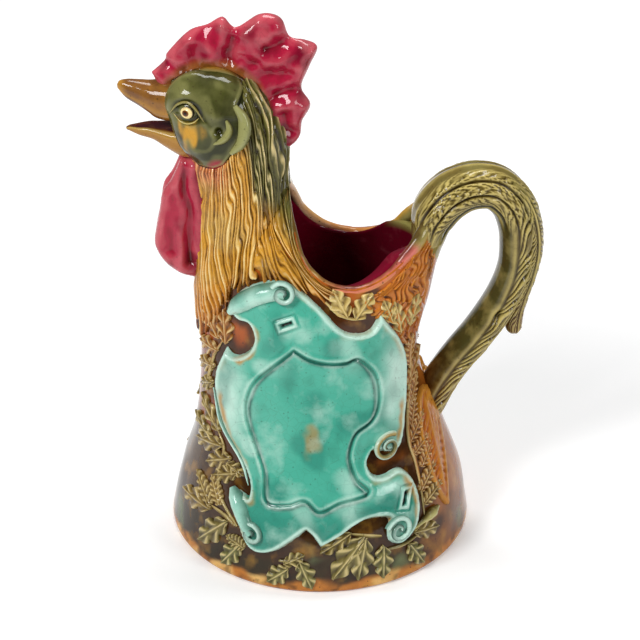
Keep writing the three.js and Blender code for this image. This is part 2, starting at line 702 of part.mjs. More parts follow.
// A rolled edge: a tapered tube that lies on the flank
function rollForm(path, radius) {
  const curve = new THREE.CatmullRomCurve3(path.map(([x, up]) => {
    const z = WAIST.z + up;
    return new THREE.Vector3(x, -bodyFlankY(x, z) - SLIP_GAP, z);
  }));
  const frames = curve.computeFrenetFrames(ROLL_STEPS, false);
  const rings = [];
  for (let step = 0; step <= ROLL_STEPS; step++) {
    const middle = curve.getPointAt(step / ROLL_STEPS);
    const ring = [];
    for (let side = 0; side < TUBE_SIDES; side++) {
      const angle = (2 * Math.PI * side) / TUBE_SIDES;
      const point = middle.clone().addScaledVector(frames.normals[step], radius * Math.cos(angle));
      ring.push(point.addScaledVector(frames.binormals[step], radius * Math.sin(angle)));
    }
    rings.push(ring);
  }
  return solid(loft(rings));
}

// The shield's outline, grown or shrunk about its middle
function shieldPlate(scale) {
  const [middleX, middleUp] = SHIELD_MIDDLE;
  const points = SHIELD_EDGE.map(([x, up]) => {
    const z = WAIST.z + middleUp + scale * (up - middleUp);
    return new THREE.Vector2(middleX + scale * (x - middleX), z);
  });
  return plate(new THREE.Shape(points), -flankReach, 0);
}

// A volute: a band that winds inwards round its middle
function voluteOutline({ middle: [x, up], radius, turning }) {
  const path = [];
  for (let step = 0; step <= VOLUTE_STEPS; step++) {
    const share = step / VOLUTE_STEPS;
    const angle = turning * share * VOLUTE_TURNS * 2 * Math.PI;
    const reach = radius * (1 - (1 - VOLUTE_INNER_SHARE) * share);
    path.push(new THREE.Vector2(x + reach * Math.cos(angle), WAIST.z + up + reach * Math.sin(angle)));
  }
  return stemOutline(path, VOLUTE_BAND);
}

function makeScroll(side) {
  const sheet = plate(scrollOutline(), -flankReach, 0);
  const groove = shieldPlate(1 + SHIELD_GROOVE_SHARE).subtract(shieldPlate(1 - SHIELD_GROOVE_SHARE));
  const bands = joined(VOLUTES.map((volute) => plate(voluteOutline(volute), -flankReach, 0)));
  const rolls = [SCROLL_TOP_ROLL, SCROLL_FOOT_ROLL].map((path) => rollForm(path, ROLL_RADIUS));
  return joined([
    laidOn(onFlank(sheet, side), SCROLL_RELIEF - SHIELD_GROOVE_DEPTH),
    laidOn(onFlank(sheet.subtract(groove), side), SCROLL_RELIEF),
    laidOn(onFlank(bands, side), SCROLL_RELIEF + VOLUTE_RISE),
    ...rolls.map((roll) => onFlank(roll, side).subtract(seat)),
  ]);
}

// A lobed leaf from its stalk to its tip: the half width swells and is scalloped along the midrib
function leafOutline(stalk, tip, halfWidth, lobes) {
  const along = tip.clone().sub(stalk);
  const across = new THREE.Vector2(-along.y, along.x).normalize();
  const steps = 2 * lobes + 1;
  const edge = (sign) => {
    const points = [];
    for (let step = 0; step <= steps; step++) {
      const share = step / steps;
      const swell = Math.pow(Math.sin(Math.PI * Math.min(0.97, 0.05 + 0.95 * share)), 0.7);
      const scallop = 1 - 0.22 * Math.cos(2 * Math.PI * lobes * share);
      const reach = sign * halfWidth * swell * scallop;
      points.push(stalk.clone().addScaledVector(along, share).addScaledVector(across, reach));
    }
    return points;
  };
  return new THREE.Shape([...edge(-1), ...edge(1).reverse()]);
}

// A stem: a band of even width along points on the flank
function stemOutline(path, width) {
  const curve = new THREE.SplineCurve(path);
  const steps = 3 * (path.length - 1);
  const edge = (sign) => {
    const side = [];
    for (let step = 0; step <= steps; step++) {
      const along = curve.getTangentAt(step / steps);
      const across = new THREE.Vector2(-along.y, along.x);
      side.push(curve.getPointAt(step / steps).addScaledVector(across, (sign * width) / 2));
    }
    return side;
  };
  return new THREE.Shape([...edge(-1), ...edge(1).reverse()]);
}

// Places on the flank: in from the body's breast end or tail end at the place's own height, or ahead of a
// fixed point
const inFromEnd = (base, sign) => (inset, up) => {
  const { x, long } = bodyAt(base + up);
  return new THREE.Vector2(x + sign * (long - inset), base + up);
};
const aheadOf = (x, z) => (ahead, up) => new THREE.Vector2(x + ahead, z + up);
const onBreast = inFromEnd(WAIST.z, -1);
const onFoot = inFromEnd(SKIRT.z, -1);
const onTail = inFromEnd(WAIST.z, 1);
const onHip = inFromEnd(HIP.z, 1);
const byScroll = aheadOf(FOOT.x, WAIST.z);
const byMouth = aheadOf(mouthMiddleX, mouthSillZ - MOUTH_DIP);
const bySkirt = aheadOf(SKIRT.x, SKIRT.z);

// Sprays of leaves: stems as places, and leaves as stalk, tip, half width and number of lobes
const SPRAYS = {
  breast_spray: {
    stems: [[onBreast(4, -15), onBreast(7.5, 1), onBreast(9.5, 11), onBreast(12.5, 21)]],
    leaves: [
      { stalk: onBreast(12.5, 20), tip: onBreast(4.5, 40), half: 4.6, lobes: 4 },
      { stalk: onBreast(9.5, 11), tip: onBreast(2, 12), half: 4.4, lobes: 3 },
      { stalk: onBreast(5, -12), tip: onBreast(11, -31), half: 4, lobes: 4 },
    ],
  },
  foot_spray: {
    stems: [[onFoot(29, -6), onFoot(23, 1), onFoot(17, 11), onFoot(15.5, 23), onFoot(17, 35)]],
    leaves: [
      { stalk: onFoot(17, 33), tip: onFoot(4.5, 26), half: 4.5, lobes: 3 },
      { stalk: onFoot(16, 25), tip: onFoot(26.5, 27), half: 3.2, lobes: 3 },
      { stalk: onFoot(16, 17), tip: onFoot(4, 14), half: 4.2, lobes: 3 },
      { stalk: onFoot(21.5, 4), tip: onFoot(7, -3), half: 5, lobes: 3 },
      { stalk: onFoot(27.5, -4), tip: onFoot(18, -20), half: 5.2, lobes: 4 },
    ],
  },
  rim_spray: {
    stems: [[byMouth(-15.5, -6), byMouth(-9.5, -11), byMouth(-2.5, -15.5), byMouth(5.5, -16)]],
    leaves: [
      { stalk: byMouth(-6.5, -14), tip: byMouth(-12.5, 0), half: 4.4, lobes: 3 },
      { stalk: byMouth(-1.5, -16), tip: byMouth(7.5, -4), half: 4.2, lobes: 3 },
    ],
  },
  laurel_spray: {
    stems: [[onTail(12, 29), onTail(5.5, 13), onTail(4.5, -3), onTail(8, -17), onTail(12.5, -33),
      byScroll(55, -49), byScroll(57.5, -63)]],
    leaves: [
      { stalk: onTail(11, 27), tip: onTail(21.5, 44), half: 3.4, lobes: 3 },
      { stalk: onTail(8.5, 21), tip: onTail(9, 43), half: 3.2, lobes: 3 },
      { stalk: onTail(7, -15), tip: onTail(1, -3), half: 3, lobes: 2 },
      { stalk: onTail(12.5, -33), tip: onTail(10.5, -21), half: 2.8, lobes: 2 },
      { stalk: byScroll(55.5, -46), tip: byScroll(47, -41), half: 2.8, lobes: 2 },
      { stalk: byScroll(55, -51), tip: byScroll(57.5, -39), half: 2.4, lobes: 2 },
      { stalk: byScroll(57, -61), tip: byScroll(61.5, -73), half: 3.4, lobes: 2 },
    ],
  },
  twig_spray: {
    stems: [
      [bySkirt(32.5, -2), bySkirt(25.5, -0.5), bySkirt(16.5, -1)],
      [bySkirt(25.5, -0.5), bySkirt(19.5, -9), bySkirt(9.5, -19)],
    ],
    leaves: [
      { stalk: bySkirt(21.5, -6), tip: bySkirt(5.5, -23), half: 5, lobes: 4 },
      { stalk: bySkirt(25.5, -2), tip: bySkirt(23.5, -22), half: 4.6, lobes: 4 },
      { stalk: bySkirt(17.5, -1), tip: bySkirt(1.5, -10), half: 4, lobes: 3 },
    ],
  },
};

function makeSpray({ stems, leaves }, side, beside) {
  const outlines = [
    ...stems.map((path) => stemOutline(path, STEM_WIDTH)),
    ...leaves.map(({ stalk, tip, half, lobes }) => leafOutline(stalk, tip, half, lobes)),
  ];
  const prism = joined(outlines.map((outline) => plate(outline, -flankReach, 0)));
  return laidOn(onFlank(prism, side), SPRAY_RELIEF).subtract(withRoom(beside, SPRAY_CLEARANCE));
}

// Long feathers that run down the hip from the handle's lower end
function makeSaddlePlume(side, beside) {
  const feathers = [
    leafOutline(onHip(-0.5, 28), onHip(6.5, -34), SADDLE_PLUME_WIDTH / 2, 2),
    leafOutline(onHip(-1, 22), onHip(6.5, -16), SADDLE_PLUME_WIDTH / 2, 2),
  ];
  const innerY = -HANDLE_HALF_WIDTH - SLIP_GAP;
  const prism = joined(feathers.map((outline) => plate(outline, -flankReach, innerY)));
  const laid = laidOn(onFlank(prism, side), SPRAY_RELIEF);
  return laid.subtract(withRoom(beside, SPRAY_CLEARANCE)).subtract(handleForm(SLIP_GAP));
}

// Glazes
const glaze = (color, roughness = 0.2) => new THREE.MeshStandardMaterial({ color, roughness, metalness: 0 });
const GLAZES = {
  amber: glaze(0xb9662a),
  straw: glaze(0xd9ae5a),
  olive: glaze(0x5d5a2c),
  crimson: glaze(0xa82a48),
  beak: glaze(0x9a6230),
  ivory: glaze(0xefd9a8),
  tail: glaze(0x77703f),
  turquoise: glaze(0x5dbb9c),
  leaf: glaze(0xc9b56a),
  saddle: glaze(0xb85f28),
  bisque: glaze(0xd8c2a0, 0.7),
};

const pitcher = new THREE.Group();

function addPiece(name, manifold, material) {
  const mesh = new THREE.Mesh(geometryOf(manifold), material);
  mesh.name = name;
  pitcher.add(mesh);
}

addPiece("bell_body", makeBellBody(), GLAZES.amber);
addPiece("base_floor", makeBaseFloor(), GLAZES.bisque);
addPiece("neck", makeNeck(), GLAZES.straw);
addPiece("head", makeHead(), GLAZES.olive);
addPiece("upper_beak", makeUpperBeak(), GLAZES.beak);
addPiece("lower_beak", makeLowerBeak(), GLAZES.beak);
addPiece("comb", makeComb(), GLAZES.crimson);
addPiece("handle", makeHandle(), GLAZES.tail);
addPiece("tail_plume", makeTailPlume(), GLAZES.tail);
for (const [flank, side] of [["left", -1], ["right", 1]]) {
  addPiece(`wattle_${flank}`, makeWattle(side), GLAZES.crimson);
  addPiece(`eye_${flank}`, makeEye(side), GLAZES.ivory);
  addPiece(`ear_lobe_${flank}`, makeEarLobe(side), GLAZES.olive);
  const scroll = makeScroll(side);
  addPiece(`scroll_${flank}`, scroll, GLAZES.turquoise);
  for (const [name, spray] of Object.entries(SPRAYS)) {
    addPiece(`${name}_${flank}`, makeSpray(spray, side, scroll), GLAZES.leaf);
  }
  const laurel = makeSpray(SPRAYS.laurel_spray, side, scroll);
  addPiece(`saddle_plume_${flank}`, makeSaddlePlume(side, laurel), GLAZES.saddle);
}

export default pitcher;
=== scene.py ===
# %% [markdown]
# # A glazed rooster pitcher
# The real pitcher is press-moulded earthenware: clay pieces are pressed in moulds, joined with slip,
# painted with coloured lead glazes and fired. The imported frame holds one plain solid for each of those
# pieces. This lesson gives every solid its carved surface and its glaze, in the place that the frame
# gives it. A bird like this could be sculpted by hand, but a script that works out every mesh from
# sections, outlines and guide lines gives the same bird each time, and each line of it can be changed.
# Lengths are in millimetres and turn into metres when a mesh is made. The bird looks along -X, the viewer
# stands on -Y, and the far flank mirrors the near one.

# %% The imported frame
import json
import math

import bpy
import numpy as np
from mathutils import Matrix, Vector, noise

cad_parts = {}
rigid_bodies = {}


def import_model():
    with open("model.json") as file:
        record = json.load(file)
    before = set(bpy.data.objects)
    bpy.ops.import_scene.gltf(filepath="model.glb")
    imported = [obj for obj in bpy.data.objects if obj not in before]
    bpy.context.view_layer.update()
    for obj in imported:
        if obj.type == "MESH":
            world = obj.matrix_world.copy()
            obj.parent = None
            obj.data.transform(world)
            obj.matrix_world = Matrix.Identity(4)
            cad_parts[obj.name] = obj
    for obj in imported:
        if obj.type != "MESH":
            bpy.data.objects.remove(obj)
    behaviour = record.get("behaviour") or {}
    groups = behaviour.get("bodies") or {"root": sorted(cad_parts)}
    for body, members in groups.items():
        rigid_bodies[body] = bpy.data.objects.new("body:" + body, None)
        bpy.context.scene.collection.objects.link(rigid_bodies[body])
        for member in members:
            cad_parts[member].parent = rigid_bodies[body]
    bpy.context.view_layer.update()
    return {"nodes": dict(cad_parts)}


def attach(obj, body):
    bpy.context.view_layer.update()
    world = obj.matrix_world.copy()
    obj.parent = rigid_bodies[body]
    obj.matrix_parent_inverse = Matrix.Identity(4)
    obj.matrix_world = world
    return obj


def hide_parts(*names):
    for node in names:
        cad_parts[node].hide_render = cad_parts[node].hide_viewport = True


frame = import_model()
MM = 0.001
NEAR, FAR = -1, 1
FLANKS = {"left": NEAR, "right": FAR}
print("frame:", len(frame["nodes"]), "nodes")

# %% [markdown]
# ## Small tools
# A potter's forms are soft: sections swell, lines curve, and one height flows into the next. Blender's
# own curves and modifiers could give some of that, but arrays of numbers can be measured, mixed and
# painted, and each rule stays in a few lines. These helpers draw smooth curves through measured points,
# find the distance to a line or the depth inside an outline, and give soft noise.

# %% Soft steps and curves
def fade(start, end, value):
    """Rises smoothly from 0 at start to 1 at end."""
    share = np.clip((np.asarray(value, float) - start) / (end - start), 0, 1)
    return share * share * (3 - 2 * share)


def bump(value, middle, reach):
    """A soft hill of height 1 around the middle."""
    return np.exp(-((np.asarray(value, float) - middle) / reach) ** 2)


def unit(vectors):
    return vectors / np.maximum(np.linalg.norm(vectors, axis=-1, keepdims=True), 1e-9)


def soft_max(first, second, rounding):
    """The larger of two values, with a rounded corner where they meet."""
    return 0.5 * (first + second + np.sqrt((first - second) ** 2 + rounding))


def smooth_run(rows):
    """A smooth curve through rows of height and values; returns the values at any height."""
    table = np.array(rows, float)
    heights, values = table[:, 0], table[:, 1:]
    slopes = np.diff(values, axis=0) / np.diff(heights)[:, None]
    tangents = np.vstack([slopes[:1], (slopes[1:] + slopes[:-1]) / 2, slopes[-1:]])

    def at(height):
        height = np.clip(np.asarray(height, float), heights[0], heights[-1])
        row = np.clip(np.searchsorted(heights, height, side="right") - 1, 0, len(heights) - 2)
        step = heights[row + 1] - heights[row]
        t = ((height - heights[row]) / step)[..., None]
        step = step[..., None]
        mixed = ((2 * t**3 - 3 * t**2 + 1) * values[row] + (t**3 - 2 * t**2 + t) * step * tangents[row]
                 + (3 * t**2 - 2 * t**3) * values[row + 1] + (t**3 - t**2) * step * tangents[row + 1])
        return np.moveaxis(mixed, -1, 0)

    return at


def spline(points, count):
    """Evenly spaced points on a smooth curve through the given points."""
    points = np.array(points, float)
    padded = np.vstack([2 * points[0] - points[1], points, 2 * points[-1] - points[-2]])
    t = np.linspace(0, 1, 24, endpoint=False)[:, None]
    runs = []
    for a, b, c, d in zip(padded, padded[1:], padded[2:], padded[3:]):
        runs.append(0.5 * (2 * b + (c - a) * t + (2 * a - 5 * b + 4 * c - d) * t**2
                           + (3 * b - a - 3 * c + d) * t**3))
    dense = np.vstack(runs + [points[-1:]])
    length = np.concatenate([[0], np.cumsum(np.linalg.norm(np.diff(dense, axis=0), axis=1))])
    places = np.linspace(0, length[-1], count)
    return np.stack([np.interp(places, length, dense[:, axis]) for axis in range(dense.shape[1])], 1)


def full_turn(count):
    """Angles of count points round a circle."""
    return np.linspace(0, 2 * np.pi, count, endpoint=False)


def run_values(values, count):
    """Values spread evenly along a run of count points."""
    return np.interp(np.linspace(0, 1, count), np.linspace(0, 1, len(values)), values)


print("a quarter of the way along a fade:", float(fade(0, 1, 0.25)))

# %% Distances and noise
def nearest_on(points, line, closed):
    """Distance from points to a line of segments, and the nearest places on it."""
    ends = np.roll(line, -1, axis=0) if closed else line[1:]
    starts = line if closed else line[:-1]
    best = np.full(len(points), np.inf)
    places = np.zeros_like(points)
    for start, end in zip(starts, ends):
        along = end - start
        share = np.clip((points - start) @ along / max(along @ along, 1e-9), 0, 1)
        place = start + share[:, None] * along
        distance = np.linalg.norm(points - place, axis=1)
        closer = distance < best
        best[closer] = distance[closer]
        places[closer] = place[closer]
    return best, places


def depth_in(points, outline):
    """Signed depth inside a closed outline (positive inside), and the nearest places on its edge."""
    distance, places = nearest_on(points, outline, True)
    inside = np.zeros(len(points), bool)
    x, z = points.T
    for (ax, az), (bx, bz) in zip(outline, np.roll(outline, -1, axis=0)):
        crosses = (az > z) != (bz > z)
        inside ^= crosses & (x < (bx - ax) * (z - az) / (bz - az + 1e-12) + ax)
    return np.where(inside, distance, -distance), places


def wobble(points, size, seed):
    """Smooth noise from -1 to 1 with lumps of about the given size."""
    spots = np.asarray(points, float) / size + seed
    return np.array([noise.noise(spot) for spot in spots])


print("noise at one place:", wobble([(1.0, 2.0, 3.0)], 5, 0.0).round(3))

# %% [markdown]
# ## Colours
# Coloured glazes are few on such a pitcher, and they mix where they run into each other. Colours could be
# picked in every material, but here a named list is painted onto the points of the meshes. They are
# written as the numbers of a paint program and turned into the linear numbers that shaders take.

# %% Colours and mixing
def glaze(red, green, blue):
    """An sRGB colour of 0 to 255 as linear numbers."""
    share = np.array([red, green, blue]) / 255
    return np.where(share <= 0.04045, share / 12.92, ((share + 0.055) / 1.055) ** 2.4)


def blend(under, over, mask):
    mask = np.clip(np.asarray(mask, float), 0, 1)[..., None]
    return under * (1 - mask) + over * mask


RUST, AMBER, ORANGE = glaze(160, 74, 22), glaze(190, 100, 32), glaze(212, 130, 48)
BROWN, UMBER, BLACK_OLIVE = glaze(108, 58, 16), glaze(58, 32, 10), glaze(36, 32, 16)
OLIVE, DARK_OLIVE, MOSS = glaze(78, 80, 32), glaze(44, 46, 18), glaze(146, 144, 88)
STRAW, HONEY, CREAM = glaze(202, 182, 108), glaze(214, 156, 54), glaze(246, 222, 156)
CRIMSON, WINE, PINK = glaze(166, 26, 56), glaze(112, 8, 34), glaze(222, 122, 126)
TURQUOISE, TEAL, MINT = glaze(76, 172, 148), glaze(20, 104, 90), glaze(200, 234, 218)
OCHRE, CELADON, PLUM = glaze(190, 132, 44), glaze(134, 156, 108), glaze(72, 6, 20)
HORN, INK = glaze(112, 72, 38), glaze(26, 18, 12)
print("amber in linear light:", AMBER.round(3))

# %% [markdown]
# ## Meshes
# Clay pressed from a mould is closed and thick, so each piece is a closed mesh: rings stacked into a
# tube, or a front and a back that share an edge. BMesh could add the faces one by one, but filling whole
# arrays is faster with many thousand points. Each point also keeps a tint, its glaze colour, and a ridge,
# which is 1 on a crest and 0 in a hollow. The glazes read both.

# %% Grids and their faces
def grid_quads(rows, columns, round_columns=True, round_rows=False):
    """Faces of a grid whose columns run anticlockwise and whose rows climb."""
    row = np.arange(rows if round_rows else rows - 1)[:, None]
    column = np.arange(columns if round_columns else columns - 1)[None, :]
    after, above = (column + 1) % columns, (row + 1) % rows
    low, high = row * columns, above * columns
    corners = (low + column, low + after, high + after, high + column)
    return np.stack(corners, -1).reshape(-1, 4)


def capped(points, rows, columns):
    """A tube of rings closed with a point at each end; returns points, quads and triangles."""
    rings = points.reshape(rows, columns, 3)
    low, high, last = len(points), len(points) + 1, (rows - 1) * columns
    column = np.arange(columns)
    after = (column + 1) % columns
    low_fan = np.stack([after, column, np.full(columns, low)], 1)
    high_fan = np.stack([last + column, last + after, np.full(columns, high)], 1)
    points = np.vstack([points, rings[0].mean(0), rings[-1].mean(0)])
    return points, grid_quads(rows, columns), np.vstack([low_fan, high_fan])


def inner_points(rows, columns):
    """1 for the inner points of a grid and 0 for those on its border."""
    row, column = np.divmod(np.arange(rows * columns), columns)
    border = (row == 0) | (row == rows - 1) | (column == 0) | (column == columns - 1)
    return np.where(border, 0, 1)


def two_sided(front, back, depth, quads):
    """Front and back of a pillow joined along their shared edge."""
    inside = depth > 0
    other = np.arange(len(front))
    other[inside] = len(front) + np.arange(inside.sum())
    return np.vstack([front, back[inside]]), np.vstack([quads, other[quads][:, ::-1]]), inside


def crests(points, quads, passes, scale):
    """How far each point stands out of its smoothed surroundings: 1 on crests, 0 in hollows."""
    ends = np.vstack([quads[:, [0, 1]], quads[:, [1, 2]], quads[:, [2, 3]], quads[:, [3, 0]]])
    start, end = np.concatenate([ends[:, 0], ends[:, 1]]), np.concatenate([ends[:, 1], ends[:, 0]])
    number = np.maximum(np.bincount(start, minlength=len(points)), 1)
    soft = points.copy()
    for _ in range(passes):
        total = np.stack([np.bincount(start, soft[end, axis], len(points)) for axis in range(3)], 1)
        soft = np.where((number > 1)[:, None], 0.5 * soft + 0.5 * total / number[:, None], soft)
    a, b, c, d = (points[quads[:, corner]] for corner in range(4))
    facing = np.cross(c - a, d - b)
    normals = np.zeros_like(points)
    for corner in range(4):
        for axis in range(3):
            normals[:, axis] += np.bincount(quads[:, corner], facing[:, axis], len(points))
    height = np.einsum("ij,ij->i", points - soft, unit(normals))
    return np.clip(0.5 + 0.5 * height / scale, 0, 1)


print("a tube of 3 rings with 8 points each:", len(grid_quads(3, 8)), "faces")

# %% Meshes and pieces
def make_mesh(name, points, quads, triangles=None, **attributes):
    """A smooth mesh in metres; attributes of one or three numbers a point are kept with it."""
    triangles = np.zeros((0, 3), int) if triangles is None else triangles
    corners = np.concatenate([np.asarray(quads).ravel(), triangles.ravel()]).astype(np.int32)
    sizes = np.concatenate([np.full(len(quads), 4), np.full(len(triangles), 3)]).astype(np.int32)
    mesh = bpy.data.meshes.new(name)
    mesh.vertices.add(len(points))
    mesh.vertices.foreach_set("co", (np.asarray(points) * MM).astype(np.float32).ravel())
    mesh.loops.add(len(corners))
    mesh.loops.foreach_set("vertex_index", corners)
    mesh.polygons.add(len(sizes))
    mesh.polygons.foreach_set("loop_start", np.concatenate([[0], np.cumsum(sizes)[:-1]]).astype(np.int32))
    mesh.polygons.foreach_set("use_smooth", np.ones(len(sizes), bool))
    mesh.update(calc_edges=True)
    add_attributes(mesh, attributes)
    mesh.validate()
    return mesh


def add_attributes(mesh, attributes):
    for label, values in attributes.items():
        values = np.asarray(values, np.float32)
        if label == "tint":
            colours = np.column_stack([values, np.ones(len(values))]).astype(np.float32)
            mesh.attributes.new(label, "FLOAT_COLOR", "POINT").data.foreach_set("color", colours.ravel())
        elif values.ndim == 2:
            mesh.attributes.new(label, "FLOAT_VECTOR", "POINT").data.foreach_set("vector", values.ravel())
        else:
            mesh.attributes.new(label, "FLOAT", "POINT").data.foreach_set("value", values)


def add_piece(name, mesh, slot, node):
    """Puts a finished mesh in the scene as the look of one node of the frame."""
    piece = bpy.data.objects.new(name, mesh)
    bpy.context.scene.collection.objects.link(piece)
    if not mesh.materials:
        mesh.materials.append(GLAZES[slot])
    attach(piece, "root")
    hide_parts(node)
    print(name, len(mesh.polygons), "faces")


def add_form(name, slot, node, points, quads, triangles=None, **attributes):
    """Makes a mesh from points and faces, and adds it as the look of one node."""
    add_piece(name, make_mesh(name, points, quads, triangles, **attributes), slot, node)


def even_ridge(points, level=0.5):
    """The same ridge value for every point of a surface without crests."""
    return np.full(len(points), level)


print("one millimetre is", MM, "m in the scene")

# %% [markdown]
# ## Glazes
# A lead glaze is coloured glass that runs while it is hot. It thins to a pale film over crests and pools,
# dark and deep, in hollows. The darkening in hollows is also painted shade: the pool colours are darker
# than pooled glaze alone, and they fall where shade falls. A painted image could show this, but it would
# need unwrapping and would not follow the carving, so the tint and the ridge of each point drive the
# colour. One shared shader group turns them into depth and painted shade, with clouds, specks and a fine
# net of cracks, and gives a roughness and a ripple for the gloss. Each slot then has its own material with
# its own values. The Principled shader stays outside the group, because an export reads shaders only in
# the material itself.

# %% Node helpers
def add_node(tree, kind, **settings):
    node = tree.nodes.new(kind)
    for label, value in settings.items():
        setattr(node, label, value)
    return node


def feed(tree, socket, value):
    """Links an input to another node's output, or sets it to a plain value."""
    if isinstance(value, bpy.types.NodeSocket):
        tree.links.new(value, socket)
    else:
        socket.default_value = value


def math_node(tree, operation, first, second=0.0, clamp=False):
    node = add_node(tree, "ShaderNodeMath", operation=operation, use_clamp=clamp)
    feed(tree, node.inputs[0], first)
    feed(tree, node.inputs[1], second)
    return node.outputs[0]


def mix_colours(tree, mask, first, second, blend_type="MIX"):
    node = add_node(tree, "ShaderNodeMix", data_type="RGBA", blend_type=blend_type)
    for label, value in (("Factor_Float", mask), ("A_Color", first), ("B_Color", second)):
        feed(tree, next(item for item in node.inputs if item.identifier == label), value)
    return next(item for item in node.outputs if item.identifier == "Result_Color")


print("node helpers for Blender", bpy.app.version_string)

# %% The shared glaze group
THIN_BELOW, DEEP_ABOVE, CONTRAST = 0.46, 0.54, 2.4
SPECK_SIZE, SPECK_RARITY, SPECK_COLOUR = 0.2, 0.82, (0.03, 0.015, 0.008, 1)
CRACK_SCALE, CRACK_WIDTH, CRACK_SHADE, CRACK_COLOUR = 230.0, 0.018, 0.16, (0.05, 0.03, 0.02, 1)
RIPPLE_SCALE, ROUGHNESS_SPREAD, ROUGHNESS_LEAST = 260.0, 0.08, 0.03


def make_glaze_group():
    tree = bpy.data.node_groups.new("glaze_depth", "ShaderNodeTree")
    for label, kind, value in (
        ("Tint", "NodeSocketColor", (0.5, 0.3, 0.1, 1)), ("Ridge", "NodeSocketFloat", 0.5),
        ("Pale", "NodeSocketColor", (0.9, 0.8, 0.5, 1)), ("Thinning", "NodeSocketFloat", 0.5),
        ("Pool And Shade", "NodeSocketColor", (0.3, 0.2, 0.15, 1)), ("Pooling And Shade", "NodeSocketFloat", 0.8),
        ("Cloud Scale", "NodeSocketFloat", 110.0), ("Cloud", "NodeSocketFloat", 0.5),
        ("Speck Scale", "NodeSocketFloat", 420.0), ("Speck", "NodeSocketFloat", 0.5),
    ):
        tree.interface.new_socket(label, in_out="INPUT", socket_type=kind).default_value = value
    for label, kind in (("Colour", "NodeSocketColor"), ("Roughness", "NodeSocketFloat"),
                        ("Height", "NodeSocketFloat")):
        tree.interface.new_socket(label, in_out="OUTPUT", socket_type=kind)
    given = add_node(tree, "NodeGroupInput").outputs
    result = add_node(tree, "NodeGroupOutput").inputs
    place = add_node(tree, "ShaderNodeTexCoord").outputs["Object"]

    def texture(kind, scale, **settings):
        node = add_node(tree, kind, **settings)
        tree.links.new(place, node.inputs["Vector"])
        feed(tree, node.inputs["Scale"], scale)
        return node

    cloud = texture("ShaderNodeTexNoise", given["Cloud Scale"])
    cloud.inputs["Detail"].default_value = 5.0
    drift = math_node(tree, "MULTIPLY", math_node(tree, "SUBTRACT", cloud.outputs[0], 0.5), given["Cloud"])
    depth = math_node(tree, "SUBTRACT", math_node(tree, "ADD", drift, 1.0), given["Ridge"], clamp=True)
    thin = math_node(tree, "MULTIPLY", math_node(tree, "SUBTRACT", THIN_BELOW, depth), CONTRAST, clamp=True)
    deep = math_node(tree, "MULTIPLY", math_node(tree, "SUBTRACT", depth, DEEP_ABOVE), CONTRAST, clamp=True)
    thin = math_node(tree, "MULTIPLY", thin, given["Thinning"])
    thinned = mix_colours(tree, thin, given["Tint"], given["Pale"])
    # Painted shade: the pool colour multiplies the hollows, for the glaze that pools there and for the
    # shade that falls there.
    deep = math_node(tree, "MULTIPLY", deep, given["Pooling And Shade"])
    pooled_and_shaded = mix_colours(tree, deep, thinned, given["Pool And Shade"], "MULTIPLY")
    speck = texture("ShaderNodeTexVoronoi", given["Speck Scale"])
    chance = add_node(tree, "ShaderNodeSeparateColor")
    tree.links.new(speck.outputs["Color"], chance.inputs[0])
    spot = math_node(tree, "MULTIPLY", math_node(tree, "LESS_THAN", speck.outputs["Distance"], SPECK_SIZE),
                     math_node(tree, "GREATER_THAN", chance.outputs[0], SPECK_RARITY))
    specked = mix_colours(tree, math_node(tree, "MULTIPLY", spot, given["Speck"]), pooled_and_shaded, SPECK_COLOUR)
    crack = texture("ShaderNodeTexVoronoi", CRACK_SCALE, feature="DISTANCE_TO_EDGE")
    line = math_node(tree, "LESS_THAN", crack.outputs["Distance"], CRACK_WIDTH)
    line = math_node(tree, "MULTIPLY", line, CRACK_SHADE)
    tree.links.new(mix_colours(tree, line, specked, CRACK_COLOUR), result["Colour"])
    ripple = texture("ShaderNodeTexNoise", RIPPLE_SCALE)
    uneven = math_node(tree, "MULTIPLY", ripple.outputs[0], ROUGHNESS_SPREAD)
    tree.links.new(math_node(tree, "ADD", uneven, ROUGHNESS_LEAST), result["Roughness"])
    tree.links.new(ripple.outputs[0], result["Height"])
    return tree


GLAZE_GROUP = make_glaze_group()
print("glaze group:", len(GLAZE_GROUP.nodes), "nodes")

# %% One material a slot
RIPPLE_STRENGTH, RIPPLE_HEIGHT, GLAZE_IOR = 0.10, 0.0006, 1.36


def make_glaze(name, pale, thinning, pool_and_shade, pooling_and_shade, cloud_scale, cloud, speck):
    material = bpy.data.materials.new(name)
    material.use_nodes = True
    tree = material.node_tree
    link = tree.links.new
    surface = tree.nodes["Principled BSDF"]
    depth = add_node(tree, "ShaderNodeGroup", node_tree=GLAZE_GROUP)
    for label, value in (("Pale", (*pale, 1)), ("Thinning", thinning), ("Pool And Shade", (*pool_and_shade, 1)),
                         ("Pooling And Shade", pooling_and_shade), ("Cloud Scale", cloud_scale), ("Cloud", cloud),
                         ("Speck", speck)):
        depth.inputs[label].default_value = value
    tint = add_node(tree, "ShaderNodeAttribute", attribute_name="tint")
    ridge = add_node(tree, "ShaderNodeAttribute", attribute_name="ridge")
    link(tint.outputs["Color"], depth.inputs["Tint"])
    link(ridge.outputs["Fac"], depth.inputs["Ridge"])
    relief = add_node(tree, "ShaderNodeBump")
    relief.inputs["Strength"].default_value = RIPPLE_STRENGTH
    relief.inputs["Distance"].default_value = RIPPLE_HEIGHT
    link(depth.outputs["Height"], relief.inputs["Height"])
    link(depth.outputs["Colour"], surface.inputs["Base Color"])
    link(depth.outputs["Roughness"], surface.inputs["Roughness"])
    link(relief.outputs["Normal"], surface.inputs["Normal"])
    surface.inputs["IOR"].default_value = GLAZE_IOR
    return material
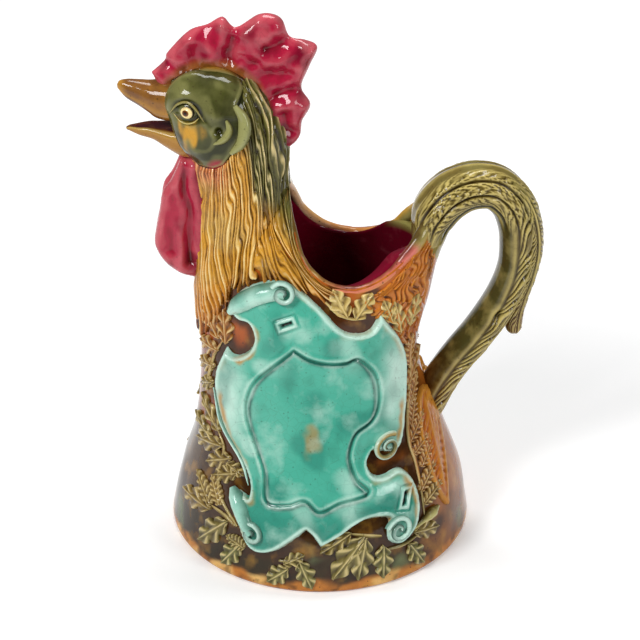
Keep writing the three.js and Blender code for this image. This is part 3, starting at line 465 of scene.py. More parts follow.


# For each slot: pale colour and its share, colour of pooled glaze and painted shade and its share, cloud
# scale, clouds, specks.
WARM_POOL_AND_SHADE, COOL_POOL_AND_SHADE = (0.16, 0.09, 0.05), (0.08, 0.22, 0.18)
GLAZE_VALUES = {
    "amber_glaze": (HONEY, 0.55, WARM_POOL_AND_SHADE, 0.85, 120.0, 0.7, 0.7),
    "bisque_clay": (CREAM, 0.3, (0.5, 0.4, 0.3), 0.5, 90.0, 0.6, 0.3),
    "hackle_glaze": (CREAM, 0.85, (0.11, 0.05, 0.02), 1.0, 150.0, 0.5, 0.35),
    "olive_glaze": (MOSS, 0.6, (0.30, 0.26, 0.14), 0.8, 100.0, 0.5, 0.4),
    "beak_glaze": (OCHRE, 0.35, (0.24, 0.15, 0.08), 0.95, 140.0, 1.1, 0.6),
    "crimson_glaze": (PINK, 0.42, (0.36, 0.10, 0.14), 0.9, 130.0, 0.6, 0.25),
    "ivory_glaze": (CREAM, 0.2, (0.6, 0.4, 0.2), 0.4, 200.0, 0.3, 0.1),
    "tail_glaze": (STRAW, 0.85, (0.16, 0.12, 0.05), 1.0, 120.0, 0.5, 0.4),
    "turquoise_glaze": (MINT, 0.85, COOL_POOL_AND_SHADE, 0.8, 75.0, 0.8, 0.3),
    "leaf_glaze": (CREAM, 0.7, (0.16, 0.10, 0.03), 0.95, 140.0, 0.5, 0.5),
}
GLAZES = {slot: make_glaze(slot, *values) for slot, values in GLAZE_VALUES.items()}
print("glazes:", ", ".join(GLAZES))

# %% [markdown]
# ## The forms under the glaze
# Body, neck and head swell and lean, and each level cut through them is close to an ellipse. A Screw
# modifier turns a profile round an axis, but it makes circles only, so each form is a list of sections:
# height, middle along X, half length and half width. Smooth curves run through the lists, and small
# functions answer where a place that is seen from the side lies on the skin and which way the skin faces
# there.

# %% Sections
body_at = smooth_run([(0, 0, 85, 85), (31, 0.5, 79, 77.5), (60, -0.5, 69.5, 65.5), (107, -6, 59.5, 51.5),
                      (148, -3.5, 64, 42), (190, 0.75, 65.25, 27), (212, 0, 62, 8)])
hollow_at = smooth_run([(7, 0, 79, 79), (31, 0.5, 74, 72.5), (60, -0.5, 64.5, 60.5), (107, -6, 54.5, 46.5),
                        (148, -5.5, 58, 37), (190, -3.75, 55.75, 22)])
neck_at = smooth_run([(148, -41, 26, 27), (200, -40.25, 23.25, 24), (222, -42.75, 25.75, 23.5),
                      (238, -47.5, 28, 25), (252, -52.4, 26.9, 24)])
CHEEK_Z, CROWN_RISE, CROWN_LEAN = 252, 21.5, -4.5
MOUTH_X, MOUTH_Z, MOUTH_LONG, MOUTH_DROP = 18.5, 197, 33.5, 35
HANDLE_SEAT_Z, NECK_WEB_Z = 176, 190
NECK_LOW_Z, NECK_FOOT_Z, WEB_START_X, WEB_END_X = 148, 172, -38, -15


def head_at(height):
    """Sections of the neck, with the crown's dome on top."""
    rise = np.clip((np.asarray(height, float) - CHEEK_Z) / CROWN_RISE, 0, 0.9999)
    middle, long, wide = neck_at(height)
    shrink = np.sqrt(1 - rise**2)
    return middle + CROWN_LEAN * rise, long * shrink, wide * shrink


def ring_points(at, angle, height, grow=0.0):
    """Points of a stack of ellipses, with their outward normals."""
    middle, long, wide = at(height)
    after = at(np.asarray(height) + 0.5)
    before = at(np.asarray(height) - 0.5)
    slope = [a - b for a, b in zip(after, before)]
    cosine, sine = np.cos(angle), np.sin(angle)
    lean = wide * cosine * (slope[0] + slope[1] * cosine) + long * sine * slope[2] * sine
    facing = np.stack([wide * cosine, long * sine, -lean], -1)
    points = np.stack([middle + long * cosine, wide * sine, np.broadcast_to(height, cosine.shape)], -1)
    return points + unit(facing) * grow, unit(facing)


print("the waist is", 2 * float(body_at(107)[1]), "mm long")

# %% Places on the flanks
def on_flank(places, side, lift=0.0, at=body_at):
    """Places given as x and z, laid on one flank; returns points and outward normals."""
    places = np.asarray(places, float)
    middle, long, _ = at(places[:, 1])
    angle = side * np.arccos(np.clip((places[:, 0] - middle) / long, -0.999, 0.999))
    points, normals = ring_points(at, angle, places[:, 1])
    return points + normals * np.broadcast_to(lift, len(points))[:, None], normals


def mouth_edge(x):
    """Height of the body's upper edge at a place along the bird."""
    share = np.clip((x - MOUTH_X) / MOUTH_LONG, -1, 1)
    dip = MOUTH_Z - MOUTH_DROP * np.sqrt(1 - share**2)
    web = NECK_FOOT_Z + (NECK_WEB_Z - NECK_FOOT_Z) * fade(WEB_START_X, WEB_END_X, x)
    seated = -soft_max(-dip, -HANDLE_SEAT_Z, 20)
    return np.where(x > MOUTH_X, seated, np.where(x < WEB_END_X, web, np.minimum(dip, NECK_WEB_Z)))


print("lowest place of the mouth:", float(mouth_edge(np.array(MOUTH_X))), "mm")

# %% Neck and breast together
def hull_radius(angle, height):
    """Reach of the neck and the breast together, measured from the neck's axis."""
    middle, long, wide = head_at(np.maximum(height, NECK_LOW_Z))
    cosine, sine = np.cos(angle), np.sin(angle)
    neck = 1 / np.sqrt((cosine / long) ** 2 + (sine / wide) ** 2)
    body_middle, body_long, body_wide = body_at(height)
    a = (cosine / body_long) ** 2 + (sine / body_wide) ** 2
    b = 2 * (middle - body_middle) * cosine / body_long**2
    c = ((middle - body_middle) / body_long) ** 2 - 1
    breast = (np.sqrt(np.maximum(b * b - 4 * a * c, 0)) - b) / (2 * a)
    breast = breast * (1 - fade(0.15, 0.6, cosine)) * (1 - fade(196, 212, height))
    return middle, soft_max(neck, breast, 9)


def on_hull(angle, height, lift=0.0):
    """Points on neck and breast together at angles from the neck's axis, and outward normals."""
    def point(a, z):
        middle, reach = hull_radius(a, z)
        return np.stack([middle + reach * np.cos(a), reach * np.sin(a), z], -1)

    angle, height = np.asarray(angle, float), np.asarray(height, float)
    across = point(angle + 0.02, height) - point(angle - 0.02, height)
    along = point(angle, height + 0.6) - point(angle, height - 0.6)
    normals = unit(np.cross(across, along))
    return point(angle, height) + normals * np.broadcast_to(lift, angle.shape)[..., None], normals


def on_hull_flank(places, side):
    """Places given as x and z, laid on one flank of neck and breast together."""
    places = np.asarray(places, float)
    trial = np.radians(np.linspace(180.5, 1, 90))
    middle, reach = hull_radius(*np.broadcast_arrays(trial[None, :], places[:, 1:]))
    along = middle + reach * np.cos(trial)
    turn = np.array([np.interp(x, row, trial) for x, row in zip(places[:, 0], along)])
    return on_hull(side * turn, places[:, 1])


print("the breast reaches", float(hull_radius(math.pi, 180.0)[1].round(1)), "mm forward at 180 mm")

# %% [markdown]
# ## Geometry Nodes trees
# Stems, rolls, lids and lips follow a line, and all leaves come from two moulds that are pressed many
# times. Each could be its own mesh, but a node tree with named inputs makes all of them and shows its
# steps. `lay_strands` sweeps a flat profile along guide lines that carry their own width. `lay_leaves`
# sets leaf blanks on points and settles every vertex on the flank. A tree is run once and its result kept
# as a plain mesh, because instances don't leave Blender with an export.

# %% A tree that sweeps strands
def new_tree(name, inputs):
    tree = bpy.data.node_groups.new(name, "GeometryNodeTree")
    tree.interface.new_socket("Geometry", in_out="INPUT", socket_type="NodeSocketGeometry")
    for label, kind in inputs:
        tree.interface.new_socket(label, in_out="INPUT", socket_type=kind)
    tree.interface.new_socket("Geometry", in_out="OUTPUT", socket_type="NodeSocketGeometry")
    return tree, add_node(tree, "NodeGroupInput").outputs, add_node(tree, "NodeGroupOutput").inputs


def chain(tree, source, *links):
    """Links a geometry through nodes in turn, by each node's named input and output."""
    for node, entry, leave in links:
        tree.links.new(source, node.inputs[entry])
        source = node.outputs[leave]
    return source


def named(tree, label, kind):
    node = add_node(tree, "GeometryNodeInputNamedAttribute", data_type=kind)
    node.inputs["Name"].default_value = label
    return node.outputs["Attribute"]


def finish_tree(tree, geometry, given, result):
    """Smooth shading, real meshes and the glaze."""
    smooth = add_node(tree, "GeometryNodeSetShadeSmooth")
    real = add_node(tree, "GeometryNodeRealizeInstances")
    paint = add_node(tree, "GeometryNodeSetMaterial")
    tree.links.new(given["Material"], paint.inputs["Material"])
    end = chain(tree, geometry, (smooth, "Geometry", "Geometry"), (real, "Geometry", "Geometry"),
                (paint, "Geometry", "Geometry"))
    tree.links.new(end, result["Geometry"])


def make_strand_tree():
    inputs = [("Sides", "NodeSocketInt"), ("Flatness", "NodeSocketFloat"),
              ("Material", "NodeSocketMaterial")]
    tree, given, result = new_tree("lay_strands", inputs)
    link = tree.links.new
    profile = add_node(tree, "GeometryNodeCurvePrimitiveCircle")
    link(given["Sides"], profile.inputs["Resolution"])
    size = add_node(tree, "ShaderNodeCombineXYZ")
    size.inputs[0].default_value = size.inputs[2].default_value = 1.0
    link(given["Flatness"], size.inputs[1])
    flatten = add_node(tree, "GeometryNodeTransform")
    link(size.outputs[0], flatten.inputs["Scale"])
    spot = add_node(tree, "ShaderNodeSeparateXYZ")
    link(add_node(tree, "GeometryNodeInputPosition").outputs[0], spot.inputs[0])
    # Painted shade: ridge runs from 0 under a strand to 1 on its top, so the glaze darkens where the strand
    # meets the surface, as pooled glaze and shade.
    level = math_node(tree, "DIVIDE", spot.outputs[1], given["Flatness"])
    level = math_node(tree, "MULTIPLY_ADD", level, 0.5)
    level.node.inputs[2].default_value = 0.5
    mark = add_node(tree, "GeometryNodeStoreNamedAttribute", data_type="FLOAT", domain="POINT")
    mark.inputs["Name"].default_value = "ridge"
    link(level, mark.inputs["Value"])
    section = chain(tree, profile.outputs["Curve"], (flatten, "Geometry", "Geometry"),
                    (mark, "Geometry", "Geometry"))
    lines = add_node(tree, "GeometryNodeMeshToCurve")
    upright = add_node(tree, "GeometryNodeSetCurveNormal", mode="FREE")
    link(named(tree, "upward", "FLOAT_VECTOR"), upright.inputs["Normal"])
    sweep = add_node(tree, "GeometryNodeCurveToMesh")
    sweep.inputs["Fill Caps"].default_value = True
    link(section, sweep.inputs["Profile Curve"])
    link(named(tree, "half_width", "FLOAT"), sweep.inputs["Scale"])
    swept = chain(tree, given["Geometry"], (lines, "Mesh", "Curve"), (upright, "Curve", "Curve"),
                  (sweep, "Curve", "Mesh"))
    finish_tree(tree, swept, given, result)
    return tree


STRAND_TREE = make_strand_tree()
print(STRAND_TREE.name, len(STRAND_TREE.nodes), "nodes")

# %% A tree that lays leaves
def make_leaf_tree():
    inputs = [("Blanks", "NodeSocketCollection"), ("Carrier", "NodeSocketObject"),
              ("Material", "NodeSocketMaterial")]
    tree, given, result = new_tree("lay_leaves", inputs)
    link = tree.links.new
    blanks = add_node(tree, "GeometryNodeCollectionInfo")
    blanks.inputs["Separate Children"].default_value = True
    blanks.inputs["Reset Children"].default_value = True
    link(given["Blanks"], blanks.inputs["Collection"])
    turn = add_node(tree, "FunctionNodeAxesToRotation", primary_axis="Z", secondary_axis="X")
    link(named(tree, "upward", "FLOAT_VECTOR"), turn.inputs["Primary Axis"])
    link(named(tree, "along", "FLOAT_VECTOR"), turn.inputs["Secondary Axis"])
    place = add_node(tree, "GeometryNodeInstanceOnPoints")
    place.inputs["Pick Instance"].default_value = True
    kind = add_node(tree, "FunctionNodeFloatToInt")
    link(named(tree, "kind", "FLOAT"), kind.inputs[0])
    link(blanks.outputs[0], place.inputs["Instance"])
    link(kind.outputs[0], place.inputs["Instance Index"])
    link(turn.outputs[0], place.inputs["Rotation"])
    link(named(tree, "size", "FLOAT_VECTOR"), place.inputs["Scale"])
    real = add_node(tree, "GeometryNodeRealizeInstances")
    ground = add_node(tree, "GeometryNodeObjectInfo", transform_space="RELATIVE")
    link(given["Carrier"], ground.inputs["Object"])
    nearest = add_node(tree, "GeometryNodeProximity", target_element="FACES")
    link(ground.outputs["Geometry"], nearest.inputs[0])
    facing = add_node(tree, "GeometryNodeSampleNearestSurface", data_type="FLOAT_VECTOR")
    link(ground.outputs["Geometry"], facing.inputs["Mesh"])
    link(add_node(tree, "GeometryNodeInputNormal").outputs[0], facing.inputs["Value"])
    lift = math_node(tree, "MULTIPLY", named(tree, "lift", "FLOAT"), named(tree, "relief", "FLOAT"))
    raised = add_node(tree, "ShaderNodeVectorMath", operation="SCALE")
    link(facing.outputs["Value"], raised.inputs[0])
    link(lift, raised.inputs["Scale"])
    settle = add_node(tree, "GeometryNodeSetPosition")
    link(nearest.outputs["Position"], settle.inputs["Position"])
    link(raised.outputs[0], settle.inputs["Offset"])
    laid = chain(tree, given["Geometry"], (place, "Points", "Instances"), (real, "Geometry", "Geometry"),
                 (settle, "Geometry", "Geometry"))
    finish_tree(tree, laid, given, result)
    return tree


LEAF_TREE = make_leaf_tree()
print(LEAF_TREE.name, len(LEAF_TREE.nodes), "nodes")

# %% Running the trees
def bake(name, mesh, tree, **inputs):
    """Runs a tree once on a mesh and gives back the mesh it made."""
    guide = bpy.data.objects.new(name + ".guide", mesh)
    bpy.context.scene.collection.objects.link(guide)
    modifier = guide.modifiers.new("tree", "NODES")
    modifier.node_group = tree
    for item in tree.interface.items_tree:
        if item.in_out == "INPUT" and item.name in inputs:
            modifier[item.identifier] = inputs[item.name]
    shown = guide.evaluated_get(bpy.context.evaluated_depsgraph_get())
    made = bpy.data.meshes.new_from_object(shown)
    guide.modifiers.clear()
    bpy.data.objects.remove(guide)
    made.name = name
    return made


class Strands:
    """Guide lines gathered for one piece: points, upward directions, half widths and tints."""

    def __init__(self):
        self.points, self.upward, self.half, self.tint, self.counts = [], [], [], [], []

    def add(self, points, upward, half, tint):
        count = len(points)
        self.points.append(points)
        self.upward.append(upward)
        self.half.append(np.broadcast_to(half, count))
        self.tint.append(np.broadcast_to(tint, (count, 3)))
        self.counts.append(count)

    def make(self, name, slot, node, flatness, sides):
        starts = np.concatenate([[0], np.cumsum(self.counts)[:-1]])
        edges = np.concatenate([start + np.stack([np.arange(count - 1), np.arange(1, count)], 1)
                                for start, count in zip(starts, self.counts)])
        mesh = bpy.data.meshes.new(name + ".lines")
        mesh.from_pydata((np.vstack(self.points) * MM).tolist(), edges.tolist(), [])
        add_attributes(mesh, {"upward": np.vstack(self.upward),
                              "half_width": np.concatenate(self.half) * MM, "tint": np.vstack(self.tint)})
        made = bake(name, mesh, STRAND_TREE, Sides=sides, Flatness=flatness, Material=GLAZES[slot])
        add_piece(name, made, slot, node)


def taper(count, half, start, end):
    """Half widths of a strand that swells from its start and runs out at its end."""
    t = np.linspace(0, 1, count)
    swell = np.minimum(start + (1 - start) * t / 0.3, 1)
    run_out = end + (1 - end) * (1 - t**3) ** 0.6
    return half * np.maximum(swell * run_out, 0.04)


print("half widths of a short strand:", taper(5, 1.0, 0.4, 0.1).round(2))

# %% [markdown]
# ## Leaves and scroll on the plan
# Sprigs of oak and laurel and a strapwork scroll are pressed flat and laid on each flank while the clay
# is soft. They could be modelled on the curved flank itself, but they are easier to draw in the view from
# the side, as x and z, and to lay on the flank later. A leaf is its stalk, its tip, its half width and
# its kind. The scroll is a ring of curves that meet in points. The plan comes before the body, because
# the body's glaze carries painted shade beside it, where glaze also pools.

# %% Where the leaves grow
OAK, LAUREL = 0, 1
SPRAYS = {
    "breast_spray": (
        [((-53.2, 127.5), (-62.5, 146), 5.2, OAK), ((-49.4, 126.4), (-50.5, 145), 4.6, OAK),
         ((-53.9, 120.5), (-63.5, 119), 4.6, OAK), ((-56, 110), (-64.5, 104), 4.2, OAK),
         ((-57, 100), (-64, 92), 3.6, OAK), ((-53.6, 74.2), (-63.5, 86.5), 4.6, OAK),
         ((-58.3, 68), (-67.6, 70), 4.2, OAK)],
        [[(-62, 92), (-58.5, 108), (-56, 118), (-51.5, 128)]]),
    "foot_spray": (
        [((-51.9, 67.5), (-67, 60), 4.8, OAK), ((-47.5, 63.4), (-61, 54), 4.6, OAK),
         ((-44, 57), (-57, 50), 4.4, OAK), ((-50, 60), (-41, 57), 3.4, OAK),
         ((-59, 34.2), (-66.5, 45), 3.6, LAUREL), ((-54, 36.5), (-58, 49), 3.4, LAUREL),
         ((-59, 32), (-75, 29), 5.2, OAK), ((-49.9, 30.7), (-66, 12), 6.0, OAK),
         ((-43, 21), (-53, 7), 5.0, OAK), ((-40.5, 20), (-50, 23), 3.2, LAUREL)],
        [[(-45.9, 30), (-52, 33), (-59, 34)], [(-45, 30), (-54, 41), (-55, 52), (-52, 66), (-55, 74)]]),
    "rim_spray": (
        [((14.5, 146.8), (7.0, 161.5), 5.0, OAK), ((18.2, 145.4), (27, 158), 4.8, OAK),
         ((38, 140), (33.5, 153), 3.8, OAK), ((42.4, 132), (39, 151), 4.2, OAK),
         ((46.8, 134), (51.5, 151), 4.2, OAK)],
        [[(3, 156), (9, 150), (16, 146.5), (24, 145.5)]]),
    "laurel_spray": (
        [((47.5, 107.4), (48.5, 127), 3.6, LAUREL), ((46.5, 98), (53, 110), 3.4, LAUREL),
         ((47.5, 87.7), (51.5, 99), 3.2, LAUREL), ((48.7, 77.7), (50.5, 90), 3.2, LAUREL),
         ((48, 70.1), (55, 80), 3.2, LAUREL), ((50, 63.4), (58, 68), 3.2, LAUREL),
         ((54.4, 55), (60, 64), 3.2, LAUREL), ((54, 43.9), (62, 53), 3.2, LAUREL),
         ((56, 37), (66, 42), 3.4, LAUREL)],
        [[(42.4, 132), (47.5, 118), (48.5, 104), (47.5, 88), (47.8, 72), (52, 58), (55, 44), (57, 30)]]),
    "twig_spray": (
        [((24, 31.3), (7.3, 9.8), 6.4, OAK), ((24.5, 30.2), (20.5, 8), 5.8, OAK),
         ((16.9, 33.9), (0.8, 24.2), 4.6, OAK), ((-11.1, 19.2), (-4.6, 4), 4.6, OAK),
         ((-19.7, 16), (-8.9, 22), 3.4, OAK), ((-17, 14), (-28, 5), 4.8, OAK),
         ((34, 24), (34, 6), 5.0, OAK), ((50.4, 25), (64, 21), 4.4, OAK), ((48, 20), (56, 6), 4.8, OAK)],
        [[(33, 29), (26, 30.5), (16.5, 33)], [(25.5, 30), (19.5, 22), (9, 11)],
         [(-22, 18), (-14, 17.5), (-8, 12)], [(36, 21), (46, 21), (56, 24)]]),
}
vines = []
for leaves, stems in SPRAYS.values():
    vines += [np.array(leaf[:2], float) for leaf in leaves] + [np.array(stem, float) for stem in stems]


def vine_distance(spots):
    """Distance from places on the flank to the nearest leaf or stem."""
    return np.min([nearest_on(spots, vine, False)[0] for vine in vines], axis=0)


print("sprays:", len(SPRAYS), "with", len(vines), "leaves and stems")

# %% The scroll's outline
SCROLL_RUNS = [
    [(-47.5, 147), (-44.5, 155.5), (-36, 162.5), (-24, 166.5), (-13, 164), (-1, 154.5), (10.5, 142),
     (18, 138.5), (25, 138.5), (29, 143), (31, 148.5)],
    [(31, 148.5), (36, 140.5), (41.5, 131), (45, 117), (45.5, 97), (44, 76.5), (40.5, 69.5), (34, 71),
     (27, 73)],
    [(27, 73), (25, 68), (27.5, 62), (33, 59.5), (41, 61), (47, 56.5), (51.5, 48), (53.5, 37), (51, 27.5),
     (43, 22), (37, 25.5), (36, 31)],
    [(36, 31), (36.5, 37), (31, 38.8), (24.5, 39), (17.5, 36.3), (10.5, 32), (0.3, 26.7)],
    [(0.3, 26.7), (-4, 32.5), (-7.3, 35.3)],
    [(-7.3, 35.3), (-17, 27.5), (-23, 23), (-30, 20), (-36.5, 20.5), (-41, 25.5), (-45, 36.5), (-48, 47)],
    [(-48, 47), (-44, 49.3), (-38, 47.5)],
    [(-38, 47.5), (-37, 54), (-40, 63), (-47, 73), (-52.5, 84.5), (-55, 97), (-54.5, 110), (-49.5, 125.7)],
    [(-49.5, 125.7), (-46, 122.5), (-41, 124), (-36.5, 128.5), (-34.5, 135), (-37, 141.5), (-42.5, 142.5),
     (-47.5, 147)],
]
SHIELD = [(-13.4, 131.5), (-31.1, 114.6), (-37.1, 102.1), (-37.5, 90.9), (-33.6, 78.3), (-28.8, 63.3),
          (-27.7, 48.1), (-16.4, 47.9), (-7.8, 50.7), (-0.3, 45.4), (10.5, 49.5), (25, 52.6), (19.1, 60.7),
          (15.8, 69.4), (15.2, 75.7), (18.4, 84.5), (26, 89), (29.2, 95.8), (29.4, 106.3), (26.4, 116.7),
          (19.3, 125.2), (13, 124), (4, 124.3), (-5.5, 126.8), (-13.4, 131.5)]
SLOTS = [((-17.1, 144.6), 22, 3.2, 0.9), ((44.2, 45.1), 78, 3.2, 0.9)]
scroll_outline = np.vstack([spline(run, 40)[:-1] for run in SCROLL_RUNS])
shield_outline = spline(SHIELD, 200)[:-1]
print("scroll outline:", len(scroll_outline), "points")

# %% [markdown]
# ## The bell body
# The body is a thin-walled bell that flares to a round foot and is open at the bird's back. A Boolean
# could cut the mouth, but it leaves ragged faces, so the grid's columns simply end at the mouth's edge
# and every face stays a clean quad. Outside and inside have different glazes, so the skin and the lining
# are two closed shells. The skin's colour comes from height and clouds, with painted shade beside leaves
# and scroll, where glaze also pools.

# %% Glaze of the body
def paint_body(points):
    x, y, z = points.T
    spots = points[:, [0, 2]]
    cloud, fine = wobble(points, 22, 3.1), wobble(points, 7, 9.4)
    level = z + 5 * cloud + 2 * fine
    tint = blend(RUST, AMBER, fade(118, 160, level) * 0.7)
    tint = blend(tint, ORANGE, fade(36, 56, x) * fade(150, 90, level) * 0.6)
    tint = blend(tint, BROWN, fade(0.0, 0.6, cloud) * 0.7)
    tint = blend(tint, blend(DARK_OLIVE, BROWN, 0.4), fade(84, 56, level) * (1 - 0.7 * fade(35, 60, x)))
    tint = blend(tint, BLACK_OLIVE, fade(40, 18, level) * (0.8 + 0.2 * cloud) * (1 - 0.5 * fade(50, 75, x)))
    green = fade(0.2, 0.55, wobble(points, 24, 5.7)) * bump(z, 15, 9) * 0.6
    tint = blend(tint, blend(CELADON, OLIVE, 0.3), green)
    # Painted shade, where glaze also pools: darker umber beside leaves, stems and the scroll's edge.
    vine_pool_shade = fade(6.5, 2.5, vine_distance(spots) + 1.2 * fine) * 0.85
    tint = blend(tint, UMBER, vine_pool_shade * fade(6, 18, np.abs(y)))
    beside, _ = nearest_on(spots, scroll_outline[::4], True)
    tint = blend(tint, UMBER, fade(6.0, 1.5, beside + fine) * 0.9)
    foot = blend(glaze(190, 118, 44), glaze(232, 184, 108), fade(0.0, 0.5, wobble(points, 11, 2.3)))
    foot = blend(foot, UMBER, 0.6 * fade(0.15, 0.5, wobble(points, 4, 7.1)))
    return blend(tint, foot, fade(7.5, 4.0, z + 3 * cloud + 2 * fine))


print("tint of one place on the flank:", paint_body(np.array([[-50.0, -30.0, 100.0]])).round(2))

# %% Body skin
BODY_COLUMNS, BODY_ROWS, INNER_ROWS, SKIN = 440, 150, 8, 2.4
FOOT_HEIGHT, FOOT_ROUNDING = 3, 2.2
angle = full_turn(BODY_COLUMNS)
edge_middle, edge_long, _ = body_at(np.full(BODY_COLUMNS, NECK_FOOT_Z))
top_z = mouth_edge(edge_middle + edge_long * np.cos(angle))


def body_rows(at, rows, low, grow, tops):
    """Rings of the body from a low height to its upper edge, moved out or in along the normals."""
    climb = np.linspace(0, 1, rows)[:, None]
    heights = low + climb * (tops[None, :] - low)
    return ring_points(at, np.broadcast_to(angle, heights.shape), heights, grow)


outer, _ = body_rows(body_at, BODY_ROWS, 0.0, 0.0, top_z)
flat = outer.reshape(-1, 3)
round_foot = np.clip(1 - flat[:, 2] / FOOT_HEIGHT, 0, 1) ** 2 * FOOT_ROUNDING
outward = unit(flat * [1, 1, 0])
flat = flat - outward * round_foot[:, None]
flat += outward * (0.35 * wobble(flat, 15, 1.7) * fade(4, 14, flat[:, 2]))[:, None]
inner, _ = body_rows(body_at, INNER_ROWS, 0.5, -SKIN, top_z - 0.6)
shell = np.vstack([flat, inner[::-1].reshape(-1, 3)])
quads = grid_quads(BODY_ROWS + INNER_ROWS, BODY_COLUMNS, True, True)
relief = 0.5 + 0.3 * wobble(shell, 9, 6.2)
add_form("bell_body_skin", "amber_glaze", "bell_body", shell, quads, tint=paint_body(shell), ridge=relief)

# %% [markdown]
# ## Lining, lip and floor
# Inside, the pitcher is glazed in plum red, with painted light and shade: a bright red where little light
# reaches, darkened to plum towards the handle and on the inside of the back wall that the key lamp lights.
# The edge of the mouth is a rounded roll of clay, and the foot is closed with a disc of bare clay. A bevel
# could round the edge, but a swept strand can swell and change its colour on the way from the neck to the
# handle. The floor is turned: a profile goes round the upright axis.

# %% Lining
BACK_ROWS, HOLLOW_ROWS, FLOOR_Z, HOLLOW_TOP_Z = 6, 70, 7.0, 188
back, _ = body_rows(body_at, BACK_ROWS, FLOOR_Z, -SKIN - 0.2, top_z - 0.8)
hollow, _ = body_rows(hollow_at, HOLLOW_ROWS, FLOOR_Z, 0.0, np.minimum(top_z, HOLLOW_TOP_Z) - 0.8)
shell = np.vstack([back.reshape(-1, 3), hollow[::-1].reshape(-1, 3)])
quads = grid_quads(BACK_ROWS + HOLLOW_ROWS, BODY_COLUMNS, True, True)
# Painted light and shade: a bright red base where little light reaches, plum towards the handle, and most
# plum on the lit inside of the back wall on the near side.
tint = blend(glaze(158, 14, 48), WINE, 0.3 + 0.5 * wobble(shell * [1, 1, 0.3], 12, 2.2))
tint = blend(tint, PLUM, 0.8 * fade(0, 30, shell[:, 0]))
tint = blend(tint, PLUM, 0.75 * fade(20, 40, shell[:, 0]) * fade(12, -4, shell[:, 1]))
below_edge = np.concatenate([0 * back[..., 2].ravel(), (hollow[-1, :, 2] - hollow[::-1, :, 2]).ravel()])
tint = blend(tint, WINE, fade(2.0, 0.4, below_edge) * (shell[:, 2] > 120))
root_side = fade(34, 42, shell[:, 0]) * fade(2, 10, shell[:, 1])
tint = blend(tint, blend(OLIVE, STRAW, 0.25), fade(5.0, 1.0, below_edge) * root_side * (shell[:, 2] > 120))
add_form("bell_body_lining", "crimson_glaze", "bell_body", shell, quads, tint=tint, ridge=even_ridge(shell))

# %% Lip of the mouth
LIP_HALF = 2.6
lips = Strands()
for side in (NEAR, FAR):
    run = np.linspace(-12, 44.5, 122)
    places, _ = on_flank(np.stack([run, mouth_edge(run) - 1.6], 1), side, -2.4)
    neck_end = np.array([(-19, side * 3, 208), (-17.5, side * 12, 200), (-15.5, side * 20, 192.5)])
    root_end = np.array([(49.5, side * 21, 178), (53.5, side * 17, 183.5), (57, side * 12, 188)])
    places = spline(np.vstack([neck_end, places[::6], root_end]), 170)
    run = places[:, 0]
    upward = unit(places - [18, 0, 150])
    nape_tint = blend(STRAW, HONEY, 0.4) if side == NEAR else blend(CREAM, PINK, 0.45)
    tint = blend(nape_tint, blend(ORANGE, PINK, 0.5), fade(-6, 14, run))
    back_tint = blend(PINK, AMBER, 0.4) if side == NEAR else blend(OLIVE, STRAW, 0.3)
    tint = blend(tint, back_tint, fade(30, 44, run))
    tint = blend(tint, blend(OLIVE, STRAW, 0.5), fade(47, 51, run))
    lips.add(places, upward, LIP_HALF + 0.25 * wobble(places, 8, 4.0) + 1.2 * fade(38, 50, run), tint)
lips.make("mouth_lip", "amber_glaze", "bell_body", 1.0, 14)

# %% Clay floor
disc = np.array([(82.0, 0.9), (79.2, 6.0), (78.6, 7.2), (40, 7.2), (0.5, 7.2)])
base = np.array([(0.5, 3.0), (30, 3.0), (67, 3.0), (70, 0.9)])
turned = np.vstack([base, disc])
sides = 120
turn = full_turn(sides)
points = np.stack([turned[:, :1] * np.cos(turn), turned[:, :1] * np.sin(turn),
                   np.repeat(turned[:, 1:], sides, 1)], -1).reshape(-1, 3)
points, quads, triangles = capped(points, len(turned), sides)
clay = blend(glaze(206, 178, 140), PLUM, fade(5.5, 6.5, points[:, 2]))
add_form("base_floor_clay", "bisque_clay", "base_floor", points, quads, triangles, tint=clay,
         ridge=even_ridge(points))

# %% [markdown]
# ## Neck and hackles
# The neck's feathers are combed into the wet clay: wavy ridges with sharp valleys that end in flicked
# tips. Separate strands would look like wire, because combed clay is one surface. So one sheet a flank is
# spread between guide lines and raised along its normals by the height of the strands. Under both sheets
# lies a plain ground, and the pouring channel goes through it.

# %% Neck ground
NECK_COLUMNS, NECK_ROWS = 150, 60
turn = full_turn(NECK_COLUMNS)
heights = np.linspace(166, 234, NECK_ROWS)[:, None]
grid_turn, grid_z = np.broadcast_arrays(turn, heights)
ground, _ = on_hull(grid_turn, grid_z, -1.7)
channel, _ = ring_points(head_at, grid_turn, grid_z, -5.0)
points = np.vstack([ground.reshape(-1, 3), channel[::-1].reshape(-1, 3)])
quads = grid_quads(2 * NECK_ROWS, NECK_COLUMNS, True, True)
tint = np.repeat([BROWN, PLUM], NECK_ROWS * NECK_COLUMNS, axis=0)
tint = blend(tint, WINE, fade(-27, -21, points[:, 0]) * fade(204, 196, points[:, 2]))
# Painted shade: the low ridge darkens the ground that shows between the hackles, as pooled glaze and shade.
add_form("neck_ground", "hackle_glaze", "neck", points, quads, tint=tint, ridge=even_ridge(points, 0.35))

